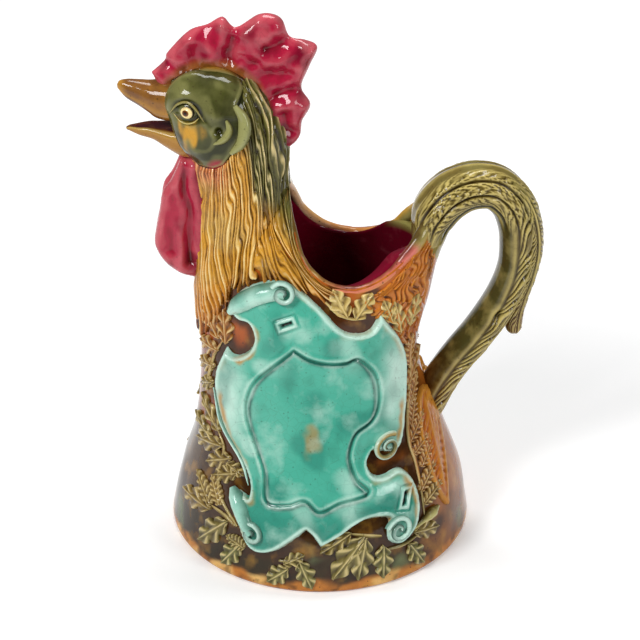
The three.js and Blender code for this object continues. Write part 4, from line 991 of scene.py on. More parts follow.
# %% Guide lines of the hackles
HACKLE_LINES = [
    [(-69, 224), (-65.8, 205), (-66.2, 185), (-67.3, 165), (-67.8, 145), (-66.4, 116)],
    [(-61, 224), (-60, 205), (-61, 185), (-61, 165), (-60.5, 148), (-58.5, 124)],
    [(-53, 226), (-52, 205), (-53, 188), (-52.5, 172), (-50, 158), (-48.5, 144)],
    [(-46, 234), (-43, 210), (-43, 192), (-44, 176), (-44, 164), (-47, 153)],
    [(-39, 246), (-36, 222), (-34, 200), (-34, 184), (-33, 171), (-30.5, 159.5)],
    [(-39.5, 264), (-36, 255), (-33, 244), (-31, 228), (-29, 205), (-27, 190), (-21, 174), (-9, 158.5)],
    [(-41, 272), (-33, 260), (-28.5, 247), (-26, 232), (-24.5, 212), (-23.5, 196), (-19, 184), (-7, 167),
     (4, 153)],
    [(-36, 274), (-27, 258), (-22, 243), (-19.5, 228), (-19, 208), (-17.5, 195), (-13, 180), (-3, 166),
     (13, 156)],
    [(-31, 274), (-21, 257), (-17, 242), (-15, 226), (-15, 210), (-15, 200), (-13, 187), (-8, 174.5),
     (2, 165), (19, 159.5)],
]
LANE_STRANDS = [0, 4.0, 9.5, 15.0, 20.0, 24.5, 27.5, 30.5, 33.0]
HACKLE_COLUMNS, HACKLE_ROWS = 272, 172
print("hackles:", len(HACKLE_LINES), "guide lines,", LANE_STRANDS[-1], "strands")

# %% Carved sheets
SHEET_BACK = 2.6


def spread_lanes(lines, rows, columns):
    """A grid of places between guide lines, with its run along them, its way down and its lanes."""
    lanes = np.linspace(0, len(lines) - 1, columns)
    between = smooth_run([(lane, *spline(line, rows).ravel()) for lane, line in enumerate(lines)])
    places = np.moveaxis(between(lanes).reshape(rows, 2, columns), 1, 2)
    fall = np.cumsum(np.linalg.norm(np.gradient(places, axis=0), axis=2), axis=0)
    along = np.linspace(0, 1, rows)[:, None] + 0 * lanes
    return places, fall, along, lanes + 0 * along


def add_sheet(name, slot, node, sheet, axis_place, height, ridge, tint, side):
    """A carved sheet: a grid of points raised along its outward normals, closed by a smooth back."""
    rows, columns = height.shape
    facing = unit(np.cross(np.gradient(sheet, axis=0), np.gradient(sheet, axis=1))) * side
    facing = facing * np.where(np.einsum("ijk,ijk->ij", facing, sheet - axis_place)[..., None] < 0, -1, 1)
    front = (sheet + facing * height[..., None]).reshape(-1, 3)
    back = (sheet - facing * SHEET_BACK).reshape(-1, 3)
    quads = grid_quads(rows, columns, False)
    quads = quads if side == FAR else quads[:, ::-1]
    points, faces, inside = two_sided(front, back, inner_points(rows, columns), quads)
    ridge = np.concatenate([ridge.ravel(), ridge.ravel()[inside]])
    add_form(name, slot, node, points, faces, tint=np.vstack([tint, tint[inside]]), ridge=ridge)


def rounded(value):
    """Half-round ridges with sharp valleys, one for each whole number."""
    return np.sqrt(np.maximum(1 - (2 * (value - np.floor(value)) - 1) ** 2, 0))


def luck_of(number):
    """A steady chance from 0 to 1 for each strand's number."""
    return np.modf(np.abs(np.sin(number * 12.9898) * 43758.5453))[0]


print("chances of the first strands:", luck_of(np.arange(3)).round(2))

# %% Carving the hackles
hackle_places, fall, along, lane_grid = spread_lanes(HACKLE_LINES, HACKLE_ROWS, HACKLE_COLUMNS)
flat_spots = np.stack([lane_grid, fall / 60, 0 * lane_grid], -1).reshape(-1, 3)
curl = wobble(flat_spots, 0.45, 2.1).reshape(along.shape)
strand = (np.interp(lane_grid, np.arange(len(HACKLE_LINES)), LANE_STRANDS) + 0.55 * curl
          + 0.34 * np.sin(fall / 5.5 + 2.0 * lane_grid) + 0.16 * np.sin(fall / 2.8 + 5.0 * lane_grid))
number = np.floor(strand)
luck = luck_of(number)
tip = 0.88 + 0.12 * luck
narrow = np.sqrt(np.clip(1 - np.clip((along - tip + 0.10) / 0.10, 0, 1) ** 2, 0, 1))
off = np.abs(2 * (strand - number) - 1)
ridge_round = np.sqrt(np.maximum(1 - (off / np.maximum(narrow, 0.02)) ** 2, 0))
lock_round = rounded(strand / 2.7 + 0.3 * curl)
fine_round = rounded(2.0 * strand + 0.5 * np.sin(fall / 4.1 + lane_grid))
stand = 0.75 + 0.5 * np.sin(fall / 13 + 6.28 * luck)
hackle_height = (1.7 * ridge_round * (0.6 + 0.4 * stand) + 1.1 * lock_round
                 + 0.35 * fine_round * ridge_round + 0.7 * fade(0.55, 0.95, along) * ridge_round - 1.5)
hackle_height = hackle_height * fade(0, 0.05, along) - 1.5 * fade(0.05, 0, along)
sunk = (off >= narrow) | (narrow < 0.05)
hackle_height = np.where(sunk & (along > 0.7), -1.6, hackle_height)
hackle_height = hackle_height * (0.4 + 0.6 * fade(0.1, 0.9, lane_grid)) - 1.8 * fade(0.94, 1.0, along)
# Painted shade: the valleys between strands and the sunk ends get a low ridge, so the glaze darkens there
# as pooled glaze and shade.
hackle_ridge = 0.56 * ridge_round**4 * stand + 0.2 * lock_round**3 + 0.17 * fine_round**3 - 0.25 * sunk
hackle_ridge = np.clip(hackle_ridge, 0, 1)
print("hackles stand up to", float(hackle_height.max().round(2)), "mm out of the neck")

# %% Laying the hackles
def paint_hackle(spots, lane, share):
    points = np.column_stack([spots, lane])
    z = spots[:, 1]
    tint = blend(HONEY, STRAW, 0.3 * fade(0.0, 0.5, wobble(points, 14, 4.1)))
    tint = blend(tint, blend(OLIVE, STRAW, 0.12), fade(3.6, 4.4, lane) * fade(190, 212, z + 5 * (lane - 5)))
    tint = blend(tint, blend(PINK, ORANGE, 0.65), fade(206, 222, z) * fade(3.2, 2.0, lane) * 0.85)
    tint = blend(tint, AMBER, fade(172, 146, z) * 0.45)
    return blend(tint, RUST, np.maximum(fade(146, 124, z) * 0.7, 0.5 * fade(0.8, 1.0, share)))


NECK_AXIS = [-41, 0, 190]
spots = hackle_places.reshape(-1, 2)
hackle_tint = paint_hackle(spots, lane_grid.ravel(), along.ravel())
for flank, side in FLANKS.items():
    lain, _ = on_hull_flank(spots, side)
    shoulder, _ = on_flank(spots, side)
    on_body = fade(30, 4, spots[:, 1] - mouth_edge(spots[:, 0]))
    reach = np.abs(shoulder[:, 1]) * on_body
    neck_reach = np.abs(lain[:, 1])
    both = soft_max(neck_reach, reach, 4)
    spread = np.maximum(both, neck_reach) - neck_reach
    lain[:, 1] = side * (neck_reach + fade(-50, -40, spots[:, 0]) * spread)
    lain[:, 0] += on_body * (spots[:, 0] - lain[:, 0])
    sheet = lain.reshape(HACKLE_ROWS, HACKLE_COLUMNS, 3)
    add_sheet("neck_hackles_" + flank, "hackle_glaze", "neck", sheet, NECK_AXIS, hackle_height,
              hackle_ridge, hackle_tint, side)

# %% [markdown]
# ## Head
# The face is a smooth mask with a brow, a swirl on the cheek and a small pit behind it, inside the ruff.
# Sculpting would do for it, but the marks are few. So the skull is a grid of sections that soft hills
# around drawn lines push out or in, and a line that moves takes its hill along. The glaze is olive, ochre
# where it thins under the eye, and dark round the mask.

# %% Lines of the face
HEAD_COLUMNS, HEAD_ROWS = 240, 110
FACE = np.array([(-78.3, 272.7), (-80.1, 264), (-79, 254.6), (-75.8, 243.5), (-72.1, 232.3), (-67.2, 225),
                 (-62.1, 223.3), (-54.4, 223.8), (-49.1, 226.7), (-43.8, 235.1), (-38, 246.3), (-37.9, 253),
                 (-41.8, 258.5), (-38.1, 265.6), (-45.5, 278.1), (-55.4, 280.8), (-65.5, 278.1)])
EYE = (-66.5, 255.8)
BROW = spline([(-76, 256), (-71, 262), (-64, 264), (-58, 260), (-53, 253)], 40)
CHEEK_SWIRL = spline([(-58, 250), (-54, 243), (-56, 237), (-62, 236), (-66, 240)], 40)
CHEEK_PIT, CHEEK_PATCH = (-51.5, 246.4), (-65, 243.5)
print("mask of the face:", len(FACE), "points")

# %% Skull grid
HEAD_LOW_Z, DOME_START = 218, 0.6
climb = np.linspace(0, 1, HEAD_ROWS)
straight = HEAD_LOW_Z + (CHEEK_Z - HEAD_LOW_Z) * climb / DOME_START
dome = CHEEK_Z + CROWN_RISE * np.sin((climb - DOME_START) / (1 - DOME_START) * math.pi / 2 * 0.985)
heights = np.where(climb < DOME_START, straight, dome)
turn = full_turn(HEAD_COLUMNS)
grid_turn, grid_z = np.broadcast_arrays(turn, heights[:, None])
skull, normals = ring_points(head_at, grid_turn, grid_z)
skull, normals = skull.reshape(-1, 3), normals.reshape(-1, 3)
spots = skull[:, [0, 2]]
print("skull:", len(skull), "points")

# %% Relief of the face
mask_depth, _ = depth_in(spots, FACE)
eye_far = np.linalg.norm((spots - EYE) * [1, 1.15], axis=1)
brow_far, _ = nearest_on(spots, BROW, False)
swirl_far, _ = nearest_on(spots, CHEEK_SWIRL, False)
pit_far = np.linalg.norm(spots - CHEEK_PIT, axis=1)
forward = np.sin(2 * np.arctan2(np.abs(normals[:, 1]), -normals[:, 0])).clip(0, 1)
full = 2.6 * forward**2 * fade(222, 236, skull[:, 2])
rise = (1.3 * fade(-0.5, 2.0, mask_depth) - 0.8 + 0.5 * bump(brow_far, 0, 3.4)
        + 0.6 * bump(swirl_far, 0, 2.2) - 1.0 * bump(eye_far, 5.2, 1.8) - 2.4 * bump(pit_far, 0, 1.9)
        + full)
rise = rise * fade(0.1, 0.45, np.abs(normals[:, 1]))
skull = skull + normals * rise[:, None]
points, quads, triangles = capped(skull, HEAD_ROWS, HEAD_COLUMNS)
print("the face rises up to", float(rise.max().round(2)), "mm")

# %% Glaze of the face
cloud = wobble(points, 14, 8.8)
tint = blend(OLIVE, DARK_OLIVE, 0.7 + 0.9 * cloud)
tint = blend(tint, MOSS, 0.3 * fade(0.15, 0.5, wobble(points, 9, 3.7)))
far = np.concatenate([np.linalg.norm((spots - CHEEK_PATCH) / [5.4, 8.4], axis=1), [9, 9]])
streaks = wobble(points * [1, 1, 0.35], 3, 5.5)
tint = blend(tint, glaze(208, 150, 32), fade(1.15, 0.3, far + 0.5 * cloud + 0.7 * streaks) * 0.9)
tint = blend(tint, DARK_OLIVE, fade(3.5, -1, np.concatenate([mask_depth, [-9, -9]])) * 0.9)
tint = blend(tint, CRIMSON, fade(8, 4, np.hypot(points[:, 0] + 52, points[:, 2] - 224)) * 0.8)
throat = fade(-70, -74, points[:, 0]) * fade(9, 6, np.abs(points[:, 1])) * fade(252, 248, points[:, 2])
tint = blend(tint, PLUM, throat)
add_form("head_skull", "olive_glaze", "head", points, quads, triangles, tint=tint,
         ridge=crests(points, quads, 10, 0.22))

# %% [markdown]
# ## Eyes, lids and ear lobes
# The eyes are clay buttons with a painted pupil, a brown iris and an ivory rim, held between two thin
# lids. A UV sphere would need a picture for the rings, so each eye is a dome of rings whose tint follows
# the distance from its middle. Lids and ear lobes are strips of clay, so they are strands laid on the
# side of the head.

# %% Eyes
EYE_LONG, EYE_TALL, EYE_BULGE, EYE_COLUMNS = 3.8, 3.3, 2.3, 48
share = np.linspace(0.04, 1, 22)[:, None]
turn = full_turn(EYE_COLUMNS)
across, rise = EYE_LONG * share * np.cos(turn), EYE_TALL * share * np.sin(turn)
out = EYE_BULGE * np.sqrt(1 - 0.999 * share**2) + 0 * turn
for flank, side in FLANKS.items():
    (middle,), (facing,) = on_flank([EYE], side, 1.9, head_at)
    right = unit(np.cross(facing, [0, 0, 1]) * -side)
    up = np.cross(right, facing) * side
    up = up if up[2] > 0 else -up
    front = middle + across[..., None] * right + rise[..., None] * up + out[..., None] * facing
    rings = np.concatenate([front, front[-1:] - 2.5 * facing])[::-1]
    if side == NEAR:
        rings = rings[:, ::-1]
    points, quads, triangles = capped(rings.reshape(-1, 3), len(rings), EYE_COLUMNS)
    reach = np.concatenate([np.repeat(np.append(share[:, 0], 1.0)[::-1], EYE_COLUMNS), [1.0, 0.0]])
    tint = blend(INK, glaze(104, 58, 26), fade(0.2, 0.3, reach))
    tint = blend(blend(tint, CREAM, fade(0.46, 0.54, reach)), INK, fade(0.86, 0.97, reach))
    add_form("eye_ball_" + flank, "ivory_glaze", "eye_" + flank, points, quads, triangles, tint=tint,
             ridge=even_ridge(points))

# %% Lids and ear lobes
FOLD_POINTS = 30
LID_OLIVE, EAR_GREY = blend(OLIVE, STRAW, 0.4), glaze(150, 150, 96)
LIDS = [([(-74.2, 253.6), (-70.6, 258.6), (-66, 260.4), (-62, 258.2), (-58, 252.6)], 0.8, LID_OLIVE),
        ([(-72.2, 254.2), (-69.2, 251.6), (-65.9, 250.8), (-62.8, 252.2), (-60.5, 254.4)], 0.6, STRAW)]
EARS = [([(-43.5, 259), (-39.6, 253), (-38.8, 246), (-40.6, 239.8), (-45.6, 234.8)], 4.3, EAR_GREY),
        ([(-47.6, 252.5), (-46.2, 247.3), (-48.9, 242.6), (-54, 239.8)], 2.6, MOSS)]
LID_SWELL = taper(FOLD_POINTS, 1.0, 0.4, 0.1)
EAR_SWELL = np.sin(np.linspace(0.35, math.pi - 0.3, FOLD_POINTS))


def lay_folds(name, node, lines, side, lift, swell, flatness, sides):
    """Strips of clay on the side of the head, each with a line, a half width and a colour."""
    folds = Strands()
    for line, half, colour in lines:
        places, normals = on_flank(spline(line, FOLD_POINTS), side, lift, head_at)
        folds.add(places, normals, half * swell, colour)
    folds.make(name, "olive_glaze", node, flatness, sides)


for flank, side in FLANKS.items():
    lay_folds("eye_lids_" + flank, "eye_" + flank, LIDS, side, 3.3, LID_SWELL, 0.9, 8)
    lay_folds("ear_lobe_ridges_" + flank, "ear_lobe_" + flank, EARS, side, 0.9, EAR_SWELL, 0.8, 10)

# %% [markdown]
# ## Beak
# The beak is open, and its lower half is a trough, because the pitcher pours through it. A cone could be
# bent into a beak, but its profile would be hard to steer. So each half is a loft: rings hang between an
# upper and a lower line, with a half width for every place along them. Where the comb joins the skull,
# two dark rolls of slip cover the seam.

# %% Both halves of the beak
def make_beak(name, node, top, low, half, paint, hollow, rows=80, columns=56):
    """Half of a beak between its upper and lower lines; hollow makes its upper side a trough."""
    upper, lower = spline(top, rows), spline(low, rows)
    width = run_values(half, rows)
    turn = full_turn(columns)
    middle, reach = (upper + lower) / 2, (upper - lower) / 2
    cosine, sine = np.cos(turn)[None, :], np.sin(turn)[None, :]
    lift = np.sign(sine) * np.abs(sine) ** 0.85
    dish = hollow * np.clip(sine, 0, 1) ** 2 * np.minimum(width[:, None] / 4, 1)
    xz = middle[:, None, :] + reach[:, None, :] * (lift - dish)[..., None]
    points = np.stack([xz[..., 0], width[:, None] * cosine, xz[..., 1]], -1)[::-1].reshape(-1, 3)
    points, quads, triangles = capped(points, rows, columns)
    sine_all = np.concatenate([np.tile(np.sin(turn), rows), [0, 0]])
    add_form(name, "beak_glaze", node, points, quads, triangles, tint=paint(points, sine_all),
             ridge=crests(points, quads, 8, 0.2))


def paint_upper(points, sine):
    tint = blend(HORN, HONEY, bump(sine, -0.35, 0.2) * 0.4)
    tint = blend(tint, PLUM, fade(-0.55, -0.75, sine))
    return blend(tint, HONEY, fade(-99, -104, points[:, 0]) * 0.5)


def paint_lower(points, sine):
    tint = blend(blend(HORN, HONEY, 0.35), STRAW, bump(sine, 0.45, 0.25) * 0.7)
    return blend(tint, PLUM, fade(0.55, 0.8, sine))


UPPER_TOP = [(-70, 266), (-80, 265), (-86.8, 264.2), (-92.9, 264.6), (-99.1, 265), (-103.2, 264.3),
             (-104.6, 262.4)]
UPPER_LOW = [(-70, 243), (-79, 243), (-85, 244.4), (-89, 247.4), (-94, 251), (-100.4, 255.2), (-104.2, 260)]
LOWER_TOP = [(-66, 243), (-76, 243.4), (-84.5, 242.7), (-91.3, 242), (-98.6, 240), (-101, 238.4)]
LOWER_LOW = [(-62, 222), (-72, 223), (-80, 227.6), (-86.5, 231.9), (-94.2, 234.2), (-100.6, 237)]
UPPER_HALVES, LOWER_HALVES = [14, 12.5, 10, 8, 6, 4, 1.2], [13.5, 12, 9.5, 7, 4.5, 1.0]
make_beak("upper_beak_horn", "upper_beak", UPPER_TOP, UPPER_LOW, UPPER_HALVES, paint_upper, 0.0)
make_beak("lower_beak_horn", "lower_beak", LOWER_TOP, LOWER_LOW, LOWER_HALVES, paint_lower, 0.5)

# %% Seams beside the comb
SEAM = [(-76, 266.5), (-68, 270.6), (-58, 273), (-48, 271.6), (-38, 265), (-31, 256.5), (-25, 246),
        (-20.5, 232)]
SEAM_POINTS, SEAM_Y, SEAM_HALF = 60, 6.4, 1.9
seams = Strands()
seam = spline(SEAM, SEAM_POINTS)
shade = blend(UMBER, OCHRE, 0.5 * bump(seam[:, 0], -54, 9))
for side in (NEAR, FAR):
    places = np.column_stack([seam[:, 0], np.full(SEAM_POINTS, side * SEAM_Y), seam[:, 1]])
    upward = np.tile([0.2, side * 0.5, 0.8], (SEAM_POINTS, 1))
    seams.add(places, upward, taper(SEAM_POINTS, SEAM_HALF, 0.4, 0.3), shade)
seams.make("head_seams", "olive_glaze", "head", 0.9, 10)

# %% [markdown]
# ## Comb and wattles
# Comb and wattles are slabs of clay, thick in the middle, thin and lobed at the edge, with pressed
# creases. Solidify gives an even thickness, so these are pillows: a grid fills the outline that is seen
# from the side, its outer points are drawn onto the edge, and the half thickness grows with the depth
# inside the outline. Creases take some of it away, and noise makes the surface lumpy, as fingers do.

# %% Pillows
def pillow_grid(outline, step):
    """A grid that fills an outline, its outer points drawn onto the edge."""
    low, high = outline.min(0) - 1.01 * step, outline.max(0) + step
    xs = np.arange(low[0], high[0] + step, step)
    zs = np.arange(low[1], high[1] + step, step)
    places = np.stack(np.meshgrid(xs, zs), -1).reshape(-1, 2)
    depth, edge = depth_in(places, outline)
    quads = grid_quads(len(zs), len(xs), False)
    quads = quads[(depth[quads] > 0).any(1)]
    used, quads = np.unique(quads, return_inverse=True)
    places, depth, edge = places[used], depth[used], edge[used]
    places = np.where((depth > 0)[:, None], places, edge)
    return places, np.maximum(depth, 0), quads.reshape(-1, 4)


def make_pillow(name, node, outline, step, half, reach, creases, lumps, drawn, middle_y, paint):
    """A standing lobe: half thickness grows over the reach from its edge, less in the creases."""
    places, depth, quads = pillow_grid(outline, step)
    swell = np.sqrt(1 - (1 - np.clip(depth / reach, 0, 1)) ** 2)
    solid = np.column_stack([places[:, 0], np.zeros(len(places)), places[:, 1]])
    grain = solid * [1, 1, drawn]
    thick = half * swell * (1 + 0.42 * wobble(grain, lumps, 3.3) + 0.2 * wobble(grain, lumps / 2.2, 7.3))
    thick += 0.35 * bump(depth, 2.6, 1.6) * swell
    hollow = np.zeros(len(places))
    for line, depth_mm, width in creases:
        far, _ = nearest_on(places, spline(line, 30), False)
        hollow += depth_mm * bump(far, 0, width) - 0.25 * depth_mm * bump(far, 2.1 * width, width)
    thick = np.maximum(thick - hollow * swell, 0.25 * swell)
    front = solid + np.outer(thick, [0, -1, 0]) + [0, middle_y, 0]
    back = solid + np.outer(thick, [0, 1, 0]) + [0, middle_y, 0]
    points, faces, _ = two_sided(front, back, depth, quads)
    ridge = 0.35 * crests(points, faces, 8, 0.25) + 0.65 * crests(points, faces, 40, 1.5)
    add_form(name, "crimson_glaze", node, points, faces, tint=paint(points), ridge=ridge)


square = np.array([(0, 0), (10, 0), (10, 10), (0, 10)], float)
print("a square of 10 mm in steps of 1 mm:", len(pillow_grid(square, 1.0)[2]), "faces")

# %% Comb
def paint_comb(points):
    tint = blend(CRIMSON, PINK, 0.3 * fade(0.25, 0.6, wobble(points, 15, 4.4)))
    tint = blend(tint, WINE, 0.9 * fade(0.05, 0.5, wobble(points, 12, 1.2)))
    skull_far = np.hypot(points[:, 0] + 56, points[:, 2] - 247)
    return blend(tint, blend(OCHRE, UMBER, 0.55), fade(33, 28, skull_far) * 0.75)


COMB = [(-86.6, 269), (-79.6, 275.6), (-77.9, 280), (-66.9, 291.4), (-57.1, 295.2), (-49.4, 298.9),
        (-42.9, 293.5), (-31.6, 300), (-24, 300.4), (-19, 297.3), (-15.5, 288.7), (-7.9, 286.5),
        (-1.3, 282.7), (-5.4, 272.3), (-9.5, 260.6), (-4.9, 251.1), (-9.1, 242.1), (-10.7, 233),
        (-17, 226.7), (-24, 228), (-30, 242), (-40, 254), (-54, 258), (-70, 259), (-82, 262), (-86.6, 269)]
COMB_CREASES = [
    ([(-42.9, 295), (-44.5, 287), (-47, 278)], 2.8, 3.4),
    ([(-52, 297), (-53.5, 290), (-53, 284)], 1.2, 3.0),
    ([(-14, 290), (-20, 286), (-27, 283)], 2.8, 3.4), ([(-8, 260), (-15, 260.5), (-22, 258)], 2.8, 3.4),
    ([(-60, 292), (-62, 283), (-66, 277)], 1.6, 3.4), ([(-80, 277), (-75, 273.5), (-70, 272)], 1.8, 2.4),
    ([(-11, 236), (-17, 240), (-19, 247)], 1.6, 2.8), ([(-33, 275), (-24, 270), (-16, 270)], 1.6, 3.6),
]
make_pillow("comb_lobes", "comb", spline(COMB, 240)[:-1], 0.62, 5.4, 7.5, COMB_CREASES, 12, 1.0, 0.0,
            paint_comb)

# %% Wattles
def paint_wattle(points):
    tint = blend(CRIMSON, PINK, 0.35 * fade(0.2, 0.6, wobble(points * [1, 1, 0.4], 9, 6.1)))
    return blend(tint, WINE, 0.7 * fade(0.1, 0.5, wobble(points * [1, 1, 0.5], 8, 2.9)))


WATTLE = [(-72.8, 223.2), (-77.9, 211.6), (-83, 203.5), (-84.9, 192.9), (-88.2, 176.3), (-86.9, 169.1),
          (-83.4, 163), (-77.7, 157.6), (-71.3, 154.5), (-65, 153.5), (-60, 160), (-57, 180), (-57, 205),
          (-62, 222), (-72.8, 223.2)]
WATTLE_CREASES = [([(-71, 224), (-71.5, 208), (-69, 194), (-70, 176), (-69, 164)], 2.6, 2.6),
                  ([(-79, 206), (-80.5, 190), (-79, 172)], 1.4, 3.4)]
for flank, side in FLANKS.items():
    make_pillow("wattle_lobe_" + flank, "wattle_" + flank, spline(WATTLE, 140)[:-1], 0.66, 4.8, 5.5,
                WATTLE_CREASES, 9, 0.3, side * 6.0, paint_wattle)

# %% [markdown]
# ## Scrolls
# A strapwork scroll lies on each flank: raised lips along its edge, a bare shield with a groove round it,
# two slots, and rolled ends. A flat panel could be wrapped on with Shrinkwrap, but then its lips would
# lean, so the pillow grid is laid on the curved flank and raised along the flank's own normals. Rolls and
# volutes are strands along straight or spiral lines. The glaze is turquoise, mint where it thins, with
# ochre drips at the edge. Painted shade darkens the groove, where glaze also pools, the slots and the
# middles of the volutes.

# %% Relief of the scroll
LAID_SUNK = 1.6


def make_laid(name, node, slot, outline, step, rise, paint, side):
    """A raised panel that follows the flank; rise gives its height at places and depths."""
    places, depth, quads = pillow_grid(outline, step)
    front, _ = on_flank(places, side, np.where(depth > 0, rise(places, depth), -0.8))
    back, _ = on_flank(places, side, -LAID_SUNK)
    points, faces, inside = two_sided(front, back, depth, quads)
    if side == FAR:
        faces = faces[:, ::-1]
    lift = np.concatenate([np.where(depth > 0, rise(places, depth), 0.0), np.zeros(inside.sum())])
    ridge = 0.5 * crests(points, faces, 8, 0.4) + 0.5 * crests(points, faces, 40, 1.8)
    add_form(name, slot, node, points, faces, tint=paint(points, lift), ridge=ridge)


def scroll_rise(places, depth):
    shield_depth, _ = depth_in(places, shield_outline)
    lift = 3.6 * fade(0, 1.7, depth) + 0.35 * bump(depth, 1.9, 0.9) + 0.8 * fade(3, 12, depth)
    lift += 0.5 * fade(-4, -0.6, shield_depth) - 0.3 * fade(0, 4, shield_depth)
    lift -= 1.3 * bump(shield_depth, 0.2, 0.8) * fade(0.5, 3, depth)
    for (x, z), degrees, long, wide in SLOTS:
        lean = np.radians(degrees)
        turned = np.array([[math.cos(lean), -math.sin(lean)], [math.sin(lean), math.cos(lean)]])
        local = (places - (x, z)) @ turned
        edge = np.maximum(np.abs(local[:, 0]) - long, np.abs(local[:, 1]) - wide)
        lift += 0.8 * bump(edge, 1.2, 0.7) - 0.5 * bump(edge, 2.7, 0.6) - 2.2 * fade(0.5, -0.5, edge)
    return lift


print("height of the shield's middle:", scroll_rise(np.array([[0.0, 90.0]]), np.array([30.0])).round(2),
      "mm")

# %% Glaze of the scroll
def paint_scroll(points, lift):
    x, z = points[:, 0], points[:, 2]
    spots = np.column_stack([x, z])
    edge_depth, _ = nearest_on(spots, scroll_outline, True)
    cloud, fine = wobble(points, 13, 2.4), wobble(points, 5, 8.1)
    shield_depth, _ = depth_in(spots, shield_outline)
    pale_front = fade(-34, -50, x + 5 * cloud) * bump(z, 96, 24)
    pale_side = np.maximum(pale_front, fade(28, 42, x + 5 * cloud) * bump(z, 108, 26))
    tint = blend(TURQUOISE, MINT, 0.9 * pale_side)
    tint = blend(tint, MINT, 0.5 * fade(0.05, 0.5, cloud) * fade(26, 6, edge_depth))
    tint = blend(tint, TEAL, 0.5 * fade(58, 36, z + 6 * cloud))
    tint = blend(tint, TEAL, 0.45 * fade(0.05, 0.5, wobble(points, 17, 7.7)))
    # Painted shade in the groove round the shield, where glaze also pools: a dark teal line.
    tint = blend(tint, glaze(8, 66, 58), 0.9 * bump(shield_depth, 0.3, 1.0))
    drips = fade(3.4, 0.6, edge_depth + 1.6 * fine) * fade(-0.25, 0.3, wobble(points, 19, 5.2))
    tint = blend(tint, OCHRE, drips * 0.9)
    stain = fade(7, 2, np.hypot((x + 4) / 0.8, (z - 84) / 1.7) + 3 * fine)
    tint = blend(tint, OCHRE, 0.5 * stain)
    # Painted shade: ink-dark in the sunk slots.
    return blend(tint, INK, fade(3.0, 2.2, lift) * (edge_depth > 2.5) * (shield_depth < -3))


print("tint of the shield:", paint_scroll(np.array([[0.0, -50.0, 100.0]]), np.array([4.0])).round(2))

# %% Scroll panels and rolls
ROLL_POINTS, COIL_POINTS, COIL_END = 40, 60, 0.6
ROLLS = [([(-46.5, 146), (-40.5, 152.5), (-32, 158), (-24, 160.8), (-18, 161)], 6.4),
         ([(-46, 49.5), (-42.6, 43), (-39.6, 37), (-37, 32.5), (-35, 30)], 5.4)]
ROLL_SWELL = run_values([0.35, 0.85, 1, 1, 1, 0.95, 0.8], ROLL_POINTS)
ROLL_LIFT, ROLLED_RIM = 2.4, [(-54, 100), (-50, 82), (-40, 66), (-36.5, 54)]
# Each volute: its middle, radius, turns, start angle, lift and colour.
VOLUTES = [((-18.5, 160.6), 5.6, -1.5, 2.6, 6.6, MINT),
           ((34.2, 73.4), 6.0, 1.5, 1.0, 4.2, blend(STRAW, BROWN, 0.4)),
           ((-35, 30.2), 4.8, -1.4, 2.4, 5.0, MINT), ((40.8, 30.6), 6.0, -1.5, 2.8, 4.4, MINT)]


def coil(middle, radius, turns, start):
    """A flat spiral from its rim inwards, as places on the flank."""
    t = np.linspace(0, 1, COIL_POINTS)
    reach = radius * (1 - t) ** 0.8 + COIL_END
    angle = start + turns * 2 * np.pi * t
    return np.array(middle) + np.stack([reach * np.cos(angle), reach * np.sin(angle)], 1)


for flank, side in FLANKS.items():
    make_laid("scroll_panel_" + flank, "scroll_" + flank, "turquoise_glaze", scroll_outline, 0.75,
              scroll_rise, paint_scroll, side)
    rolls = Strands()
    for line, half in ROLLS:
        places, normals = on_flank(spline(line, ROLL_POINTS), side, ROLL_LIFT)
        shade = blend(TURQUOISE, MINT, 0.5 + 0.5 * wobble(places, 8, 1.1))
        rolls.add(places, normals, half * ROLL_SWELL, shade)
    for middle, radius, turns, start, lift, colour in VOLUTES:
        climb = np.linspace(lift, lift + 1.0, COIL_POINTS)
        places, normals = on_flank(coil(middle, radius, turns, start), side, climb)
        # Painted shade: each volute darkens towards its middle, inside the roll.
        shade = blend(colour, blend(TEAL, UMBER, 0.5), np.linspace(0.0, 0.9, COIL_POINTS))
        rolls.add(places, normals, np.linspace(1.9, 1.0, COIL_POINTS), shade)
    rim, normals = on_flank(spline(ROLLED_RIM, ROLL_POINTS), side, 4.4)
    rolls.add(rim, normals, taper(ROLL_POINTS, 1.2, 0.3, 0.2), MINT)
    rolls.make("scroll_rolls_" + flank, "turquoise_glaze", "scroll_" + flank, 0.85, 14)

# %% [markdown]
# ## Leaves and stems
# The sprigs repeat two moulds, a lobed oak leaf and a plain laurel leaf, at many sizes. Each leaf could
# be modelled, but two blanks that `lay_leaves` sets on points keep the moulds in one place. A blank is
# flat and one unit long: it stores how far each point will be lifted, with ribs and a midrib, and the
# tree lays that lift on the flank. Stems are strands.

